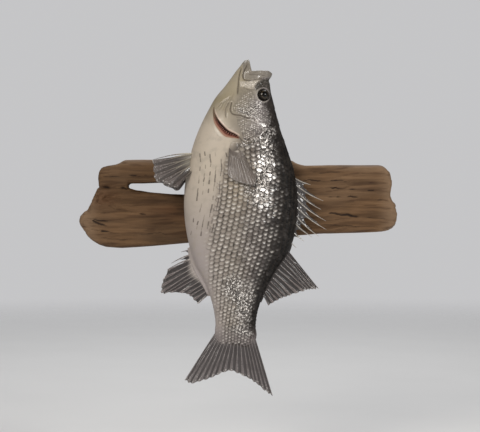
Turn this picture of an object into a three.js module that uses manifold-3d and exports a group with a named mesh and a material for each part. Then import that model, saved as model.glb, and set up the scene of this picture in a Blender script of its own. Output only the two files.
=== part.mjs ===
// Mounted trophy fish, a deep-bodied temperate bass, on a slab of driftwood.
// Millimetres, +Z up. The origin is the middle of the slab's flat back, which lies on the
// plane y = 0 against the wall; the viewer stands on the -Y side.
//
// The fish is modelled in its own frame: +Z towards the snout, +X towards the back, and -Y
// towards its left flank, the one that faces the viewer. Its group then sets it on the slab.

import * as THREE from 'three';
import { mergeVertices } from 'three/addons/utils/BufferGeometryUtils.js';
import Module from 'manifold-3d';

const wasm = await Module();
wasm.setup();

// ---------------------------------------------------------------- driving dimensions

const gap = 0.3; // clearance between pieces that touch
const farAway = 260; // past the end of anything here, for cutting shapes
const proud = 4; // past the surface of the body, for cutting shapes

// Facets round each section, and along what the section runs along.
const facets = { body: 24, cavity: 10, cavityLength: 6, eye: 10, eyeLength: 7, finRows: 4 };
// Stretches of the body from one place to another, each with its own length of facet.
const stretches = [
  { from: 162.4, to: 149, step: 2.4 },
  { from: 149, to: 76, step: 6.8 },
  { from: 76, to: -112, step: 12.5 },
  { from: -112, to: -157, step: 7.5 },
];

const slab = {
  thickness: 26,
  edgeRound: 6, // how far the front edges are worn back
  edgeSlope: 5,
  endThinning: 6, // the ends are worn thinner than the middle
  flatHalfLength: 95,
  halfLength: 186,
};

const pose = {
  centre: new THREE.Vector3(1.8, -52.5, -0.5),
  lean: THREE.MathUtils.degToRad(3.7), // snout towards +X
  roll: THREE.MathUtils.degToRad(8), // belly towards the viewer
};

const bend = { middle: 20, reach: 238, depth: 8 }; // head and tail curve off the wall

// Sizes at stations along the body, from the lower jaw's tip to the root of the tail fin.
// back and belly are the two outlines, widest the level of the greatest width, and half is
// half of that width. In front of z = 150 only the lower jaw is left of these sections.
const stations = [
  { z: 162.4, back: 3, belly: -5, widest: -1, half: 1.2 },
  { z: 160, back: 12, belly: -7.4, widest: 0, half: 6 },
  { z: 155, back: 19, belly: -10.6, widest: 1.2, half: 10 },
  { z: 149, back: 25.4, belly: -14.8, widest: 2.8, half: 12.4 },
  { z: 141, back: 24.4, belly: -19.9, widest: 2.5, half: 13.6 },
  { z: 130, back: 25.8, belly: -27.1, widest: 1, half: 16 },
  { z: 118, back: 29.6, belly: -35.8, widest: 0, half: 19.4 },
  { z: 103, back: 35, belly: -43.1, widest: -1, half: 23 },
  { z: 86, back: 41, belly: -50.6, widest: -2, half: 25.4 },
  { z: 64, back: 50.3, belly: -57.6, widest: -3, half: 27 },
  { z: 41, back: 59.5, belly: -62, widest: -3, half: 27.6 },
  { z: 12, back: 65.1, belly: -64.7, widest: -3, half: 27 },
  { z: -19, back: 65.6, belly: -62.9, widest: -2, half: 25 },
  { z: -49, back: 60.2, belly: -56.2, widest: 0, half: 21 },
  { z: -74, back: 46, belly: -46.8, widest: 1, half: 16.2 },
  { z: -97, back: 35.2, belly: -32.9, widest: 2, half: 11.6 },
  { z: -119, back: 28.3, belly: -24.1, widest: 2.5, half: 8.6 },
  { z: -140, back: 26.4, belly: -20.2, widest: 3, half: 6.8 },
  { z: -149, back: 24, belly: -17, widest: 3, half: 4.2 },
  { z: -157, back: 15, belly: -8, widest: 3.5, half: 0.9 },
];
const keel = { back: 1.12, belly: 0.86 }; // above 1 is sharper than an ellipse, below is fuller
const leastReach = 0.4; // of a section from its middle, however thin

const mouth = {
  // the open angle between the jaws, seen from the side
  notch: [
    [0.8, 148], [20.4, 150.3], [24, 149.8], [27.5, 146.5], [60, 146.5], [60, 200], [-1.4, 200], [-1.4, 161.4],
  ],
  // sections of the hollow behind the lips
  cavity: [
    { z: 160.6, back: 30, belly: -5, half: 2.6 },
    { z: 157, back: 30, belly: -7.2, half: 6.4 },
    { z: 149, back: 23, belly: -12.4, half: 10.2 },
    { z: 141, back: 17, belly: -15, half: 10.2 },
    { z: 128, back: 6, belly: -15, half: 8 },
    { z: 116, back: -4, belly: -12, half: 3 },
  ],
};

const eye = { at: [15.7, 122.8], radius: 7.6, sink: 5, clear: 0.4 };

const cover = { lift: 1.3, thickness: 2.6, slitDepth: 5.2, gillTop: 2.6 };
const neckSeam = { back: 93, belly: 108 }; // where the head ends, above and below the gill opening
const midRib = 2; // left whole on each side of the middle, between the two gill openings

// Lines of the head in side view, as [height, along the body] pairs.
const gillLine = [
  [37, neckSeam.back], [24.8, 89.4], [20.2, 82.2], [15.7, 77.2],
  [8.8, 74.3], [1.7, 78.4], [-6.3, 79], [-11.6, 74.6],
  [-22.9, 80], [-29.8, 86.3], [-34.3, 91.9], [-37.7, 99.6], [-38.9, 107.8],
];
const cheekLine = [
  [-28, 114.4], [-21.9, 111.8], [-22.3, 104.9], [-20.4, 99.5], [-9.3, 97.8], [1, 95.5], [13.8, 94.6],
  [22, 95.4],
];
const gularLine = [[-10.8, 155.4], [-12.8, 143.5], [-13.8, 134], [-13.9, 120.3]];
const jawSeam = [[-6.1, 138], [-8.8, 141.2], [-8.6, 147], [3, 148.2], [4, 160]];
const upperJawLine = [
  ...jawSeam, [40, 160], [40, 142.6], [18.2, 142.4], [6.1, 142.8], [-0.6, 139.6],
];
const lowerJawLine = [...gularLine, [-9, 119.6], ...jawSeam, [4, 180], [-40, 180], [-40, 156]];
const throatLine = [...gularLine, [-19.6, 115.4], [-29, 113.6], [-39.2, 109.2], [-80, 112], [-80, 156]];
const slitLine = [
  [-38.8, 107], [-37.3, 98.6], [-34, 91], [-29.6, 85.6], [-22.8, 79.4], [-11.2, 73.9], [-9, 70.8],
  [-16.9, 71.1], [-25.7, 71.9], [-32.6, 78.4], [-38.3, 87.2], [-40, 97],
];

const stalkFront = -112; // the tail stalk starts behind the last fin ray
const contactFlat = { top: 56, bottom: -60 }; // where the far flank lies on the slab

// Fins as fans of rays. roots and tips are [height, along the body] pairs that the rays'
// ends run through; the roots lie inside the body and are trimmed to its surface. pleat is
// how far rays stand to one side and webs to the other, and web how far out the webs reach.
const fins = {
  caudal_fin: {
    roots: [[-15, -140], [-8, -149], [3, -152], [14, -149], [22, -140]],
    tips: [
      [-51.6, -203], [-45, -207.4], [-33, -203.8], [-21.8, -199.6], [-10.8, -193.8], [0.4, -190.8],
      [12, -194.6], [23.7, -199.6], [32, -204.6], [41.6, -212], [50, -217],
    ],
    rays: 12, rootThick: 3.4, edgeThick: 0.8, pleat: 0.5,
  },
  spiny_dorsal_fin: {
    roots: [[58, 34], [60.5, 20], [61.5, 4], [61, -12], [59, -26], [56, -40]],
    tips: [
      [77, 28], [94, 9], [95, -3], [99, -14], [101.4, -24], [92, -32.6], [84.4, -34], [76, -39], [67, -47],
    ],
    rays: 9, rootThick: 3, edgeThick: 0.9, pleat: 0.2, web: 0.62,
  },
  soft_dorsal_fin: {
    roots: [[56, -48], [49, -60], [40, -74], [33, -87], [29, -98]],
    tips: [[96.6, -92.6], [88, -94], [79.6, -95.4], [62.9, -102], [51.8, -106.8], [39, -114.4]],
    rays: 11, rootThick: 2.8, edgeThick: 0.8, pleat: 0.5,
  },
  anal_fin: {
    roots: [[-50, -58], [-45, -66], [-37, -80], [-30, -92], [-25, -101]],
    tips: [
      [-64, -59.6], [-74, -73], [-84.3, -97], [-83.6, -108], [-73.5, -106.3], [-56.4, -106.4], [-50, -109.6],
      [-41.8, -117.6],
    ],
    rays: 10, rootThick: 3, edgeThick: 0.8, pleat: 0.5,
  },
};
const webThin = 0.8; // thickness of a web as a share of its rays'
const pleatRise = 0.15; // the pleats start this share of a ray inside the body

// Paired fins. lift is the distance off the flank from root to tip; offset and splay are
// the distances from the middle at the root, and further out at the tip.
const pectoral = {
  roots: [[-17.6, 63.4], [-10.6, 62.8]],
  tips: [[-21.4, 44], [-20.2, 29.8], [-12, 23.5], [-0.6, 20.9], [10.6, 20.5], [11, 28.4]],
  rays: 9, rootThick: 2.4, edgeThick: 0.8, pleat: 0.25, lift: [-3, 1.6, 3, 5.4],
};
const farPectoral = {
  roots: [[-9, 65], [-15.5, 63]],
  tips: [[-50, 36], [-52, 43], [-47, 52], [-38, 60], [-26, 66.5]],
  rays: 8, rootThick: 2.4, edgeThick: 0.8, pleat: 0.2, lift: [-3, 1.4, 1.8, 2.4],
};
const pelvic = {
  roots: [[-51.5, 52.4], [-49.6, 41.4]],
  tips: [[-104.6, 41], [-103.4, 30], [-101.6, 21], [-88.8, 16.5], [-75.6, 12], [-66, 25]],
  rays: 7, rootThick: 3.2, edgeThick: 0.8, pleat: 0.9,
  offset: 4, splay: 13,
};
const farPelvic = { ...pelvic, tips: pelvic.tips.map(([h, z]) => [h + 4, z - 3]), splay: 8 };

// Outline of the slab in the wall's plane, as [x, z], anticlockwise from its upper left.
const slabOutline = [
  [-91, 49.5], [-133, 49.5], [-140, 45.3], [-155, 43.3], [-160.5, 41], [-163.4, 36], [-164.6, 28],
  [-164.6, 19], [-169, 10], [-172, 3], [-176, -6], [-181, -11], [-185, -15.5], [-186, -22],
  [-184, -29.4], [-178, -36.4], [-172, -43.2], [-163, -49], [-155, -51.4], [-136, -52.6], [-103, -50.2],
  [-60, -46.5], [0, -42], [70, -37.6], [100, -35], [168, -33.8], [175.6, -32], [181.8, -28.6],
  [184.6, -22], [185.4, -8.4], [183, -0.6], [178.4, 3.2], [177, 9], [177.6, 26.4], [176, 34.5],
  [172.2, 40.2], [166, 43.5], [105, 43.7], [76, 43.1], [68, 45], [62, 49], [30, 52], [-30, 51],
];
// the long rotted-out slot, whose inner end is hidden behind the fish
const slotOutline = [
  [-130, 19.6], [-127.5, 22.8], [-95, 23.4], [-50, 24], [-41, 20], [-42, 13], [-52, 10], [-80, 10.6],
  [-103, 12], [-121, 15], [-128.6, 17],
];

const finishes = {
  silver: { color: 0xa9a19b, roughness: 0.35 },
  cream: { color: 0xd8cdb8, roughness: 0.35 },
  fin: { color: 0x8c8692, roughness: 0.3 },
  darkFin: { color: 0x5f5a60, roughness: 0.3 },
  gill: { color: 0x8a3a2a, roughness: 0.6 },
  eye: { color: 0x2a1f16, roughness: 0.1 },
  wood: { color: 0x6b5039, roughness: 0.8 },
};

// ---------------------------------------------------------------- solids and meshes

const mergeWithin = 1e-4;

function solidOf(geometry) {
  const bare = geometry.index ? geometry.toNonIndexed() : geometry.clone();
  bare.deleteAttribute('normal');
  bare.deleteAttribute('uv');
  const merged = mergeVertices(bare, mergeWithin);
  return new wasm.Manifold(new wasm.Mesh({
    numProp: 3,
    vertProperties: new Float32Array(merged.attributes.position.array),
    triVerts: new Uint32Array(merged.index.array),
  }));
}

function geometryOf(solid) {
  const mesh = solid.getMesh();
  const geometry = new THREE.BufferGeometry();
  geometry.setAttribute('position', new THREE.BufferAttribute(new Float32Array(mesh.vertProperties), 3));
  geometry.setIndex(new THREE.BufferAttribute(new Uint32Array(mesh.triVerts), 1));
  geometry.computeVertexNormals();
  return geometry;
}

function signedVolume(points, faces) {
  return faces.reduce((sum, [a, b, c]) => (
    sum + points[a].dot(new THREE.Vector3().crossVectors(points[b], points[c])) / 6
  ), 0);
}

function closedGeometry(points, faces) {
  const outward = signedVolume(points, faces) > 0 ? faces : faces.map(([a, b, c]) => [a, c, b]);
  const geometry = new THREE.BufferGeometry().setFromPoints(points);
  geometry.setIndex(outward.flat());
  return geometry;
}

// A closed skin over rings of points, with a fan over each end.
function loft(rings) {
  const count = rings[0].length;
  const points = rings.flat();
  const faces = [];
  for (let r = 0; r + 1 < rings.length; r += 1) {
    for (let i = 0; i < count; i += 1) {
      const a = r * count + i;
      const b = r * count + ((i + 1) % count);
      faces.push([a, b, b + count], [a, b + count, a + count]);
    }
  }
  [[0, true], [rings.length - 1, false]].forEach(([r, first]) => {
    const centre = rings[r].reduce((sum, p) => sum.add(p), new THREE.Vector3()).divideScalar(count);
    points.push(centre);
    for (let i = 0; i < count; i += 1) {
      const a = r * count + i;
      const b = r * count + ((i + 1) % count);
      faces.push(first ? [points.length - 1, b, a] : [points.length - 1, a, b]);
    }
  });
  return closedGeometry(points, faces);
}

// A side-view outline carried right through the fish, from its left to its right.
function prism(outline, from = -farAway, to = farAway) {
  const shape = new THREE.Shape(outline.map(([h, z]) => new THREE.Vector2(h, z)));
  const geometry = new THREE.ExtrudeGeometry(shape, { depth: to - from, bevelEnabled: false });
  geometry.rotateX(Math.PI / 2);
  geometry.translate(0, to, 0);
  return solidOf(geometry);
}

const sharpCorner = 2; // the most that a corner of an outline moves, in distances of its sides

// Moves an outline outwards by a distance, or inwards where that is negative.
function outset(outline, distance) {
  const points = outline.map(([h, z]) => new THREE.Vector2(h, z));
  const turn = Math.sign(THREE.ShapeUtils.area(points));
  const normalAfter = points.map((p, i) => {
    const edge = points[(i + 1) % points.length].clone().sub(p).normalize();
    return new THREE.Vector2(edge.y, -edge.x).multiplyScalar(turn);
  });
  return points.map((p, i) => {
    const before = normalAfter[(i + points.length - 1) % points.length];
    const middle = before.clone().add(normalAfter[i]).normalize();
    const stretch = 1 / Math.max(1 / sharpCorner, middle.dot(before));
    return p.clone().addScaledVector(middle, distance * stretch).toArray();
  });
}

// ---------------------------------------------------------------- body

// Smooth value of a field between rows that are sorted by falling z.
function smoothAt(rows, field, z) {
  const last = rows.length - 1;
  if (z >= rows[0].z) return rows[0][field];
  if (z <= rows[last].z) return rows[last][field];
  const i = rows.findIndex((row, k) => k < last && z <= row.z && z > rows[k + 1].z);
  const slopeAt = (k) => {
    const a = rows[Math.max(0, k - 1)];
    const b = rows[Math.min(last, k + 1)];
    return (b[field] - a[field]) / (b.z - a.z);
  };
  const [a, b] = [rows[i], rows[i + 1]];
  const span = b.z - a.z;
  const t = (z - a.z) / span;
  const [t2, t3] = [t * t, t * t * t];
  return (2 * t3 - 3 * t2 + 1) * a[field] + (t3 - 2 * t2 + t) * span * slopeAt(i)
    + (3 * t2 - 2 * t3) * b[field] + (t3 - t2) * span * slopeAt(i + 1);
}

const sway = (z) => -bend.depth * ((z - bend.middle) / bend.reach) ** 2;

function bodySize(z) {
  return {
    back: smoothAt(stations, 'back', z),
    belly: smoothAt(stations, 'belly', z),
    widest: smoothAt(stations, 'widest', z),
    half: smoothAt(stations, 'half', z),
  };
}

// Half width of the body at a height and a place along it, grown by a little.
function halfWidth(height, z, grow = 0) {
  const s = bodySize(z);
  const above = height > s.widest;
  const reach = (above ? s.back - s.widest : s.widest - s.belly) + grow;
  const part = Math.min(1, Math.abs(height - s.widest) / reach);
  return (s.half + grow) * (1 - part * part) ** ((above ? keel.back : keel.belly) / 2);
}

// A section of the body or of the hollow behind the lips, as points round it.
function ring(size, z, around, grow) {
  return Array.from({ length: around }, (_, i) => {
    const angle = (2 * Math.PI * i) / around;
    const [c, s] = [Math.cos(angle), Math.sin(angle)];
    const reach = c > 0 ? size.back - size.widest : size.widest - size.belly;
    const side = Math.sign(s) * Math.abs(s) ** (c > 0 ? keel.back : keel.belly);
    return new THREE.Vector3(
      size.widest + c * Math.max(leastReach, reach + grow),
      sway(z) - side * Math.max(leastReach, size.half + grow),
      z,
    );
  });
}

function placesAlong() {
  const places = stretches.flatMap(({ from, to, step }) => {
    const count = Math.round((from - to) / step);
    return Array.from({ length: count }, (_, k) => from - ((from - to) * k) / count);
  });
  return [...places, stretches[stretches.length - 1].to];
}

// The whole body from jaw to tail, with its surface moved outwards by a little.
function bodySolid(grow = 0) {
  const places = placesAlong();
  const ends = Math.max(0, grow);
  return solidOf(loft(places.map((z, i) => {
    const points = ring(bodySize(z), z, facets.body, grow);
    if (i === 0) points.forEach((p) => p.setZ(z + ends));
    if (i === places.length - 1) points.forEach((p) => p.setZ(z - ends));
    return points;
  })));
}

function cavitySolid() {
  const rows = mouth.cavity;
  const [lipEnd, throatEnd] = [rows[0].z, rows[rows.length - 1].z];
  return solidOf(loft(Array.from({ length: facets.cavityLength + 1 }, (_, k) => {
    const z = THREE.MathUtils.lerp(lipEnd, throatEnd, k / facets.cavityLength);
    const [back, belly] = [smoothAt(rows, 'back', z), smoothAt(rows, 'belly', z)];
    const size = { back, belly, widest: (back + belly) / 2, half: smoothAt(rows, 'half', z) };
    return ring(size, z, facets.cavity, 0);
  })));
}

// ---------------------------------------------------------------- head

const body = bodySolid();
const grownBody = bodySolid(gap);
const openMouth = body.subtract(prism(mouth.notch)).subtract(cavitySolid());

// Everything in front of the gill opening, and of the neck above and below it.
const headSpace = (shift) => prism([
  ...gillLine.map(([h, z]) => [h, z + shift]),
  [-farAway, neckSeam.belly + shift],
  [-farAway, farAway],
  [farAway, farAway],
  [farAway, neckSeam.back + shift],
]);
const acrossBand = (front, back) => [[-farAway, front], [farAway, front], [farAway, back], [-farAway, back]];

function eyeSolid(side, radius) {
  const sphere = new THREE.SphereGeometry(radius, facets.eye, facets.eyeLength);
  const [height, z] = eye.at;
  sphere.translate(height, sway(z) - side * (halfWidth(height, z) - eye.sink), z);
  return solidOf(sphere);
}

// The layer of the body between two depths under its surface.
const layer = (outer, inner) => bodySolid(outer).subtract(bodySolid(inner));
const halfOf = (side) => (
  prism(acrossBand(-farAway, farAway), ...(side > 0 ? [-farAway, -midRib] : [midRib, farAway]))
);

const coverOutline = [...gillLine.slice(1), ...cheekLine];
const front = openMouth.intersect(headSpace(gap / 2));
const coverPocket = layer(proud, -(cover.thickness + gap)).intersect(prism(outset(coverOutline, gap)));

const head = front
  .subtract(prism(outset(upperJawLine, gap / 2)))
  .subtract(prism(outset(lowerJawLine, gap / 2)))
  .subtract(prism(outset(throatLine, gap / 2)))
  .subtract(coverPocket)
  .subtract(eyeSolid(1, eye.radius + eye.clear))
  .subtract(eyeSolid(-1, eye.radius + eye.clear));

const within = (solid, outline) => solid.intersect(prism(outset(outline, -gap / 2)));
const throat = within(front, throatLine).subtract(coverPocket);

const gillCover = (side) => layer(cover.lift, -cover.thickness)
  .intersect(prism(coverOutline))
  .intersect(halfOf(side));

const gills = (side) => layer(-cover.gillTop, -cover.slitDepth + gap)
  .intersect(prism(outset(slitLine, -gap)))
  .intersect(halfOf(side));

// ---------------------------------------------------------------- trunk and tail stalk

const fishGroup = new THREE.Group();
fishGroup.position.copy(pose.centre);
fishGroup.rotation.set(0, pose.lean, pose.roll, 'XYZ');
fishGroup.updateMatrixWorld(true);

// The space that the slab takes behind the fish, in the fish's own frame.
function slabSpace() {
  const depth = slab.thickness + gap;
  const space = new THREE.BoxGeometry(2 * farAway, 2 * depth, contactFlat.top - contactFlat.bottom);
  space.translate(0, 0, (contactFlat.top + contactFlat.bottom) / 2);
  space.applyMatrix4(fishGroup.matrixWorld.clone().invert());
  return solidOf(space);
}

const behindHead = body.subtract(headSpace(-gap / 2));
const slit = layer(proud, -cover.slitDepth).intersect(prism(slitLine));

const trunk = behindHead
  .intersect(prism(acrossBand(farAway, stalkFront + gap / 2)))
  .subtract(slit)
  .subtract(slabSpace());

const tailStalk = behindHead.intersect(prism(acrossBand(stalkFront - gap / 2, -farAway)));

// ---------------------------------------------------------------- fins

// The point a share of the way along a smooth line through pairs.
function lineThrough(pairs) {
  const points = pairs.map(([h, z]) => new THREE.Vector3(h, 0, z));
  const curve = new THREE.CatmullRomCurve3(points, false, 'centripetal');
  return (share) => curve.getPoint(share);
}

// A thin fan of rays joined by webs. sideAt gives the fan's place across the fish.
function fan(fin, sideAt) {
  const rootAt = lineThrough(fin.roots);
  const tipAt = lineThrough(fin.tips);
  const columns = 2 * (fin.rays - 1);
  const rows = facets.finRows;
  const outer = [];
  const inner = [];
  for (let c = 0; c <= columns; c += 1) {
    const isRay = c % 2 === 0;
    const root = rootAt(c / columns);
    const tip = tipAt(c / columns);
    const cut = fin.web && !isRay ? fin.web : 1;
    for (let r = 0; r <= rows; r += 1) {
      const out = (r / rows) * cut;
      const middle = root.clone().lerp(tip, out);
      const pleat = fin.pleat * Math.sin(Math.PI * Math.min(1, out + pleatRise));
      middle.y = sideAt(middle.x, middle.z, out) + (isRay ? -pleat : pleat);
      const full = THREE.MathUtils.lerp(fin.rootThick, fin.edgeThick, Math.sqrt(out));
      const thick = isRay ? full : full * webThin;
      outer.push(middle.clone().setY(middle.y - thick / 2));
      inner.push(middle.clone().setY(middle.y + thick / 2));
    }
  }
  const at = (c, r) => c * (rows + 1) + r;
  const shift = outer.length;
  const faces = [];
  const quad = (a, b, c, d) => faces.push([a, b, c], [a, c, d]);
  for (let c = 0; c < columns; c += 1) {
    for (let r = 0; r < rows; r += 1) {
      quad(at(c, r), at(c, r + 1), at(c + 1, r + 1), at(c + 1, r));
      quad(at(c, r) + shift, at(c + 1, r) + shift, at(c + 1, r + 1) + shift, at(c, r + 1) + shift);
    }
    quad(at(c, 0), at(c + 1, 0), at(c + 1, 0) + shift, at(c, 0) + shift);
    quad(at(c, rows) + shift, at(c + 1, rows) + shift, at(c + 1, rows), at(c, rows));
  }
  for (let r = 0; r < rows; r += 1) {
    quad(at(0, r), at(0, r) + shift, at(0, r + 1) + shift, at(0, r + 1));
    quad(at(columns, r) + shift, at(columns, r), at(columns, r + 1), at(columns, r + 1) + shift);
  }
  return solidOf(closedGeometry([...outer, ...inner], faces)).subtract(grownBody);
}

// Lies along the flank of one side, lifting off it towards the tip.
function alongFlank(fin, side) {
  return fan(fin, (height, z, out) => {
    const place = out * (fin.lift.length - 1);
    const step = Math.min(Math.floor(place), fin.lift.length - 2);
    const lift = THREE.MathUtils.lerp(fin.lift[step], fin.lift[step + 1], place - step);
    return sway(z) - side * (halfWidth(height, z) + lift);
  });
}

const upright = (fin) => fan(fin, (height, z) => sway(z));
const splayed = (fin, side) => fan(fin, (height, z, out) => sway(z) - side * (fin.offset + fin.splay * out));

// ---------------------------------------------------------------- driftwood

function driftwood() {
  const shape = new THREE.Shape(slabOutline.map(([x, z]) => new THREE.Vector2(x, z)));
  shape.holes.push(new THREE.Path(slotOutline.map(([x, z]) => new THREE.Vector2(x, z))));
  const backing = 10; // cut away again, to leave a flat back with crisp edges
  const geometry = new THREE.ExtrudeGeometry(shape, {
    depth: slab.thickness + backing - 2 * slab.edgeRound,
    bevelThickness: slab.edgeRound,
    bevelSize: slab.edgeSlope,
    bevelOffset: -slab.edgeSlope,
    bevelSegments: 2,
  });
  geometry.rotateX(Math.PI / 2);
  geometry.translate(0, backing - slab.edgeRound, 0);
  const position = geometry.attributes.position;
  for (let i = 0; i < position.count; i += 1) {
    const past = Math.max(0, Math.abs(position.getX(i)) - slab.flatHalfLength);
    const share = past / (slab.halfLength - slab.flatHalfLength);
    const front = Math.min(0, position.getY(i)) / -slab.thickness;
    position.setY(i, position.getY(i) + slab.endThinning * share * share * front);
  }
  const behindWall = new THREE.BoxGeometry(2 * farAway, 2 * backing, 2 * farAway).translate(0, backing, 0);
  return solidOf(geometry).subtract(solidOf(behindWall));
}

// ---------------------------------------------------------------- the model

function piece(name, solid, finish) {
  const material = new THREE.MeshStandardMaterial({ ...finish, metalness: 0, flatShading: true });
  const mesh = new THREE.Mesh(geometryOf(solid), material);
  mesh.name = name;
  return mesh;
}

const model = new THREE.Group();
model.add(piece('driftwood', driftwood(), finishes.wood));
model.add(fishGroup);

fishGroup.add(
  piece('head', head, finishes.silver),
  piece('upper_jaw', within(openMouth, upperJawLine), finishes.silver),
  piece('lower_jaw', within(openMouth, lowerJawLine), finishes.cream),
  piece('throat', throat, finishes.cream),
  piece('trunk', trunk, finishes.silver),
  piece('tail_stalk', tailStalk, finishes.silver),
  piece('caudal_fin', upright(fins.caudal_fin), finishes.fin),
  piece('spiny_dorsal_fin', upright(fins.spiny_dorsal_fin), finishes.darkFin),
  piece('soft_dorsal_fin', upright(fins.soft_dorsal_fin), finishes.darkFin),
  piece('anal_fin', upright(fins.anal_fin), finishes.fin),
  piece('pectoral_fin_left', alongFlank(pectoral, 1), finishes.fin),
  piece('pectoral_fin_right', alongFlank(farPectoral, -1), finishes.fin),
  piece('pelvic_fin_left', splayed(pelvic, 1), finishes.cream),
  piece('pelvic_fin_right', splayed(farPelvic, -1), finishes.cream),
);
[['left', 1], ['right', -1]].forEach(([name, side]) => {
  fishGroup.add(
    piece(`gill_cover_${name}`, gillCover(side), finishes.silver),
    piece(`gills_${name}`, gills(side), finishes.gill),
    piece(`eye_${name}`, eyeSolid(side, eye.radius), finishes.eye),
  );
});

export default model;
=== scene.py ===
import math

import bpy
import numpy as np
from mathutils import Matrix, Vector
from mathutils.bvhtree import BVHTree


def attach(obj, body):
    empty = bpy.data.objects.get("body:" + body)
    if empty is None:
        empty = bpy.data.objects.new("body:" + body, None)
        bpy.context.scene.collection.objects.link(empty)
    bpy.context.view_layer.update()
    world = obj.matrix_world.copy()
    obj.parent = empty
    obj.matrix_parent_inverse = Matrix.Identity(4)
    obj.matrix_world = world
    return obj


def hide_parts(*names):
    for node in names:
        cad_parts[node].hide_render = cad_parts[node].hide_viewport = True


# A mounted temperate bass on a slab of driftwood. Every size is in millimetres until a mesh
# is made. The fish is shaped in its own frame: u towards the back, y away from the left
# flank, z towards the snout. toRoom then leans and rolls it into its place on the wood.

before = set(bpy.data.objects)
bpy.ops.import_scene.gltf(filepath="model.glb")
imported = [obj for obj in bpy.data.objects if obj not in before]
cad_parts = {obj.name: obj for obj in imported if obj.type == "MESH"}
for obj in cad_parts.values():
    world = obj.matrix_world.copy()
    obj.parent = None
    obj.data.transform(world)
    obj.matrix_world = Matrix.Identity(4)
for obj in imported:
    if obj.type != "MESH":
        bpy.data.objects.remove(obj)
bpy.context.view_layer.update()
mm = 0.001
print("frame loaded:", len(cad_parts), "nodes")


def smooth(low, high, x):
    t = np.clip((np.asarray(x, float) - low) / (high - low), 0, 1)
    return t * t * (3 - 2 * t)


def bell(x, width):
    return np.exp(-(np.asarray(x, float) / width) ** 2)


def spline(points, t):
    # where a round line through the points is, t stretches along it
    p = np.array(points, float)
    p = np.vstack([2 * p[0] - p[1], p, 2 * p[-1] - p[-2]])
    i = np.minimum(t.astype(int), len(points) - 2)
    f = (t - i)[..., None]
    a, b, c, d = p[i], p[i + 1], p[i + 2], p[i + 3]
    bent = 2 * b + (c - a) * f + (2 * a - 5 * b + 4 * c - d) * f ** 2
    return 0.5 * (bent + (3 * b - a - 3 * c + d) * f ** 3)


def curveThrough(points, steps=5):
    # the same number of steps in each stretch
    return spline(points, np.linspace(0, len(points) - 1, (len(points) - 1) * steps + 1))


def along(points, share):
    # the place a share of the way along, by control points
    return spline(points, np.clip(np.asarray(share, float), 0, 1) * (len(points) - 1))


def lineDistance(line, u, z):
    # how far each place is from a line, and how far along the line it lies
    p = np.array(line, float)
    best = np.full(u.shape, 1e9)
    place = np.zeros(u.shape)
    done = 0.0
    for a, b in zip(p[:-1], p[1:]):
        d = b - a
        size = math.hypot(*d) + 1e-9
        t = np.clip(((u - a[0]) * d[0] + (z - a[1]) * d[1]) / size ** 2, 0, 1)
        gone = np.hypot(u - a[0] - t * d[0], z - a[1] - t * d[1])
        nearer = gone < best
        best = np.where(nearer, gone, best)
        place = np.where(nearer, done + t * size, place)
        done += size
    return best, place / done


def inside(outline, u, z):
    p = np.array(outline, float)
    odd = np.zeros(u.shape, bool)
    for a, b in zip(p, np.roll(p, -1, axis=0)):
        if a[1] == b[1]:
            continue
        crosses = (a[1] > z) != (b[1] > z)
        odd ^= crosses & (u < (b[0] - a[0]) * (z - a[1]) / (b[1] - a[1]) + a[0])
    return odd


def edgeDistance(outline, u, z):
    # negative inside the outline, positive outside it
    closed = np.vstack([outline, outline[:1]])
    gone, _ = lineDistance(closed, u, z)
    return np.where(inside(outline, u, z), -gone, gone)


def noise(points, size, seed=0):
    # smooth random values from 0 to 1, one lump for each size along every axis
    stir = (73856093, 19349663, 83492791)     # large primes scramble the corners of the cells
    q = points / size
    cell = np.floor(q).astype(np.int64)
    f = q - cell
    f = f * f * (3 - 2 * f)
    total = np.zeros(len(q))
    for corner in np.ndindex(2, 2, 2):
        h = np.bitwise_xor.reduce((cell + corner) * stir, axis=1) ^ seed * 2654435
        h = (h ^ (h >> 13)) * 1274126177 & 0x7fffffff
        h = (h ^ (h >> 15)) & 0xffff
        near = np.where(corner, f, 1 - f)
        total += near[:, 0] * near[:, 1] * near[:, 2] * h / 0xffff
    return total


def setMarks(piece, marks):
    for key, values in marks.items():
        layer = piece.data.attributes.new(key, "FLOAT", "POINT")
        layer.data.foreach_set("value", values.astype(np.float32))


def shadeSmooth(piece):
    piece.data.polygons.foreach_set("use_smooth", np.full(len(piece.data.polygons), True))


def meshObject(name, points, quads=(), tris=(), marks=None):
    mesh = bpy.data.meshes.new(name)
    quads = np.array(quads, np.int32).reshape(-1, 4)
    tris = np.array(tris, np.int32).reshape(-1, 3)
    loops = np.concatenate([quads.ravel(), tris.ravel()])
    sizes = np.concatenate([np.full(len(quads), 4), np.full(len(tris), 3)])
    starts = np.concatenate([[0], np.cumsum(sizes)[:-1]])
    mesh.vertices.add(len(points))
    mesh.vertices.foreach_set("co", (np.asarray(points) * mm).astype(np.float32).ravel())
    mesh.loops.add(len(loops))
    mesh.loops.foreach_set("vertex_index", loops.astype(np.int32))
    mesh.polygons.add(len(sizes))
    mesh.polygons.foreach_set("loop_start", starts.astype(np.int32))
    mesh.update(calc_edges=True)
    mesh.validate()
    piece = bpy.data.objects.new(name, mesh)
    bpy.context.scene.collection.objects.link(piece)
    shadeSmooth(piece)
    setMarks(piece, marks or {})
    return piece


def pointsOf(piece):
    co = np.empty(len(piece.data.vertices) * 3, np.float32)
    piece.data.vertices.foreach_get("co", co)
    return co.reshape(-1, 3).astype(float) / mm


def normalsOf(piece):
    n = np.empty(len(piece.data.vertices) * 3, np.float32)
    piece.data.vertex_normals.foreach_get("vector", n)
    return n.reshape(-1, 3).astype(float)


def edgeEnds(piece):
    ends = np.empty(len(piece.data.edges) * 2, np.int32)
    piece.data.edges.foreach_get("vertices", ends)
    return ends.reshape(-1, 2)


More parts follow.
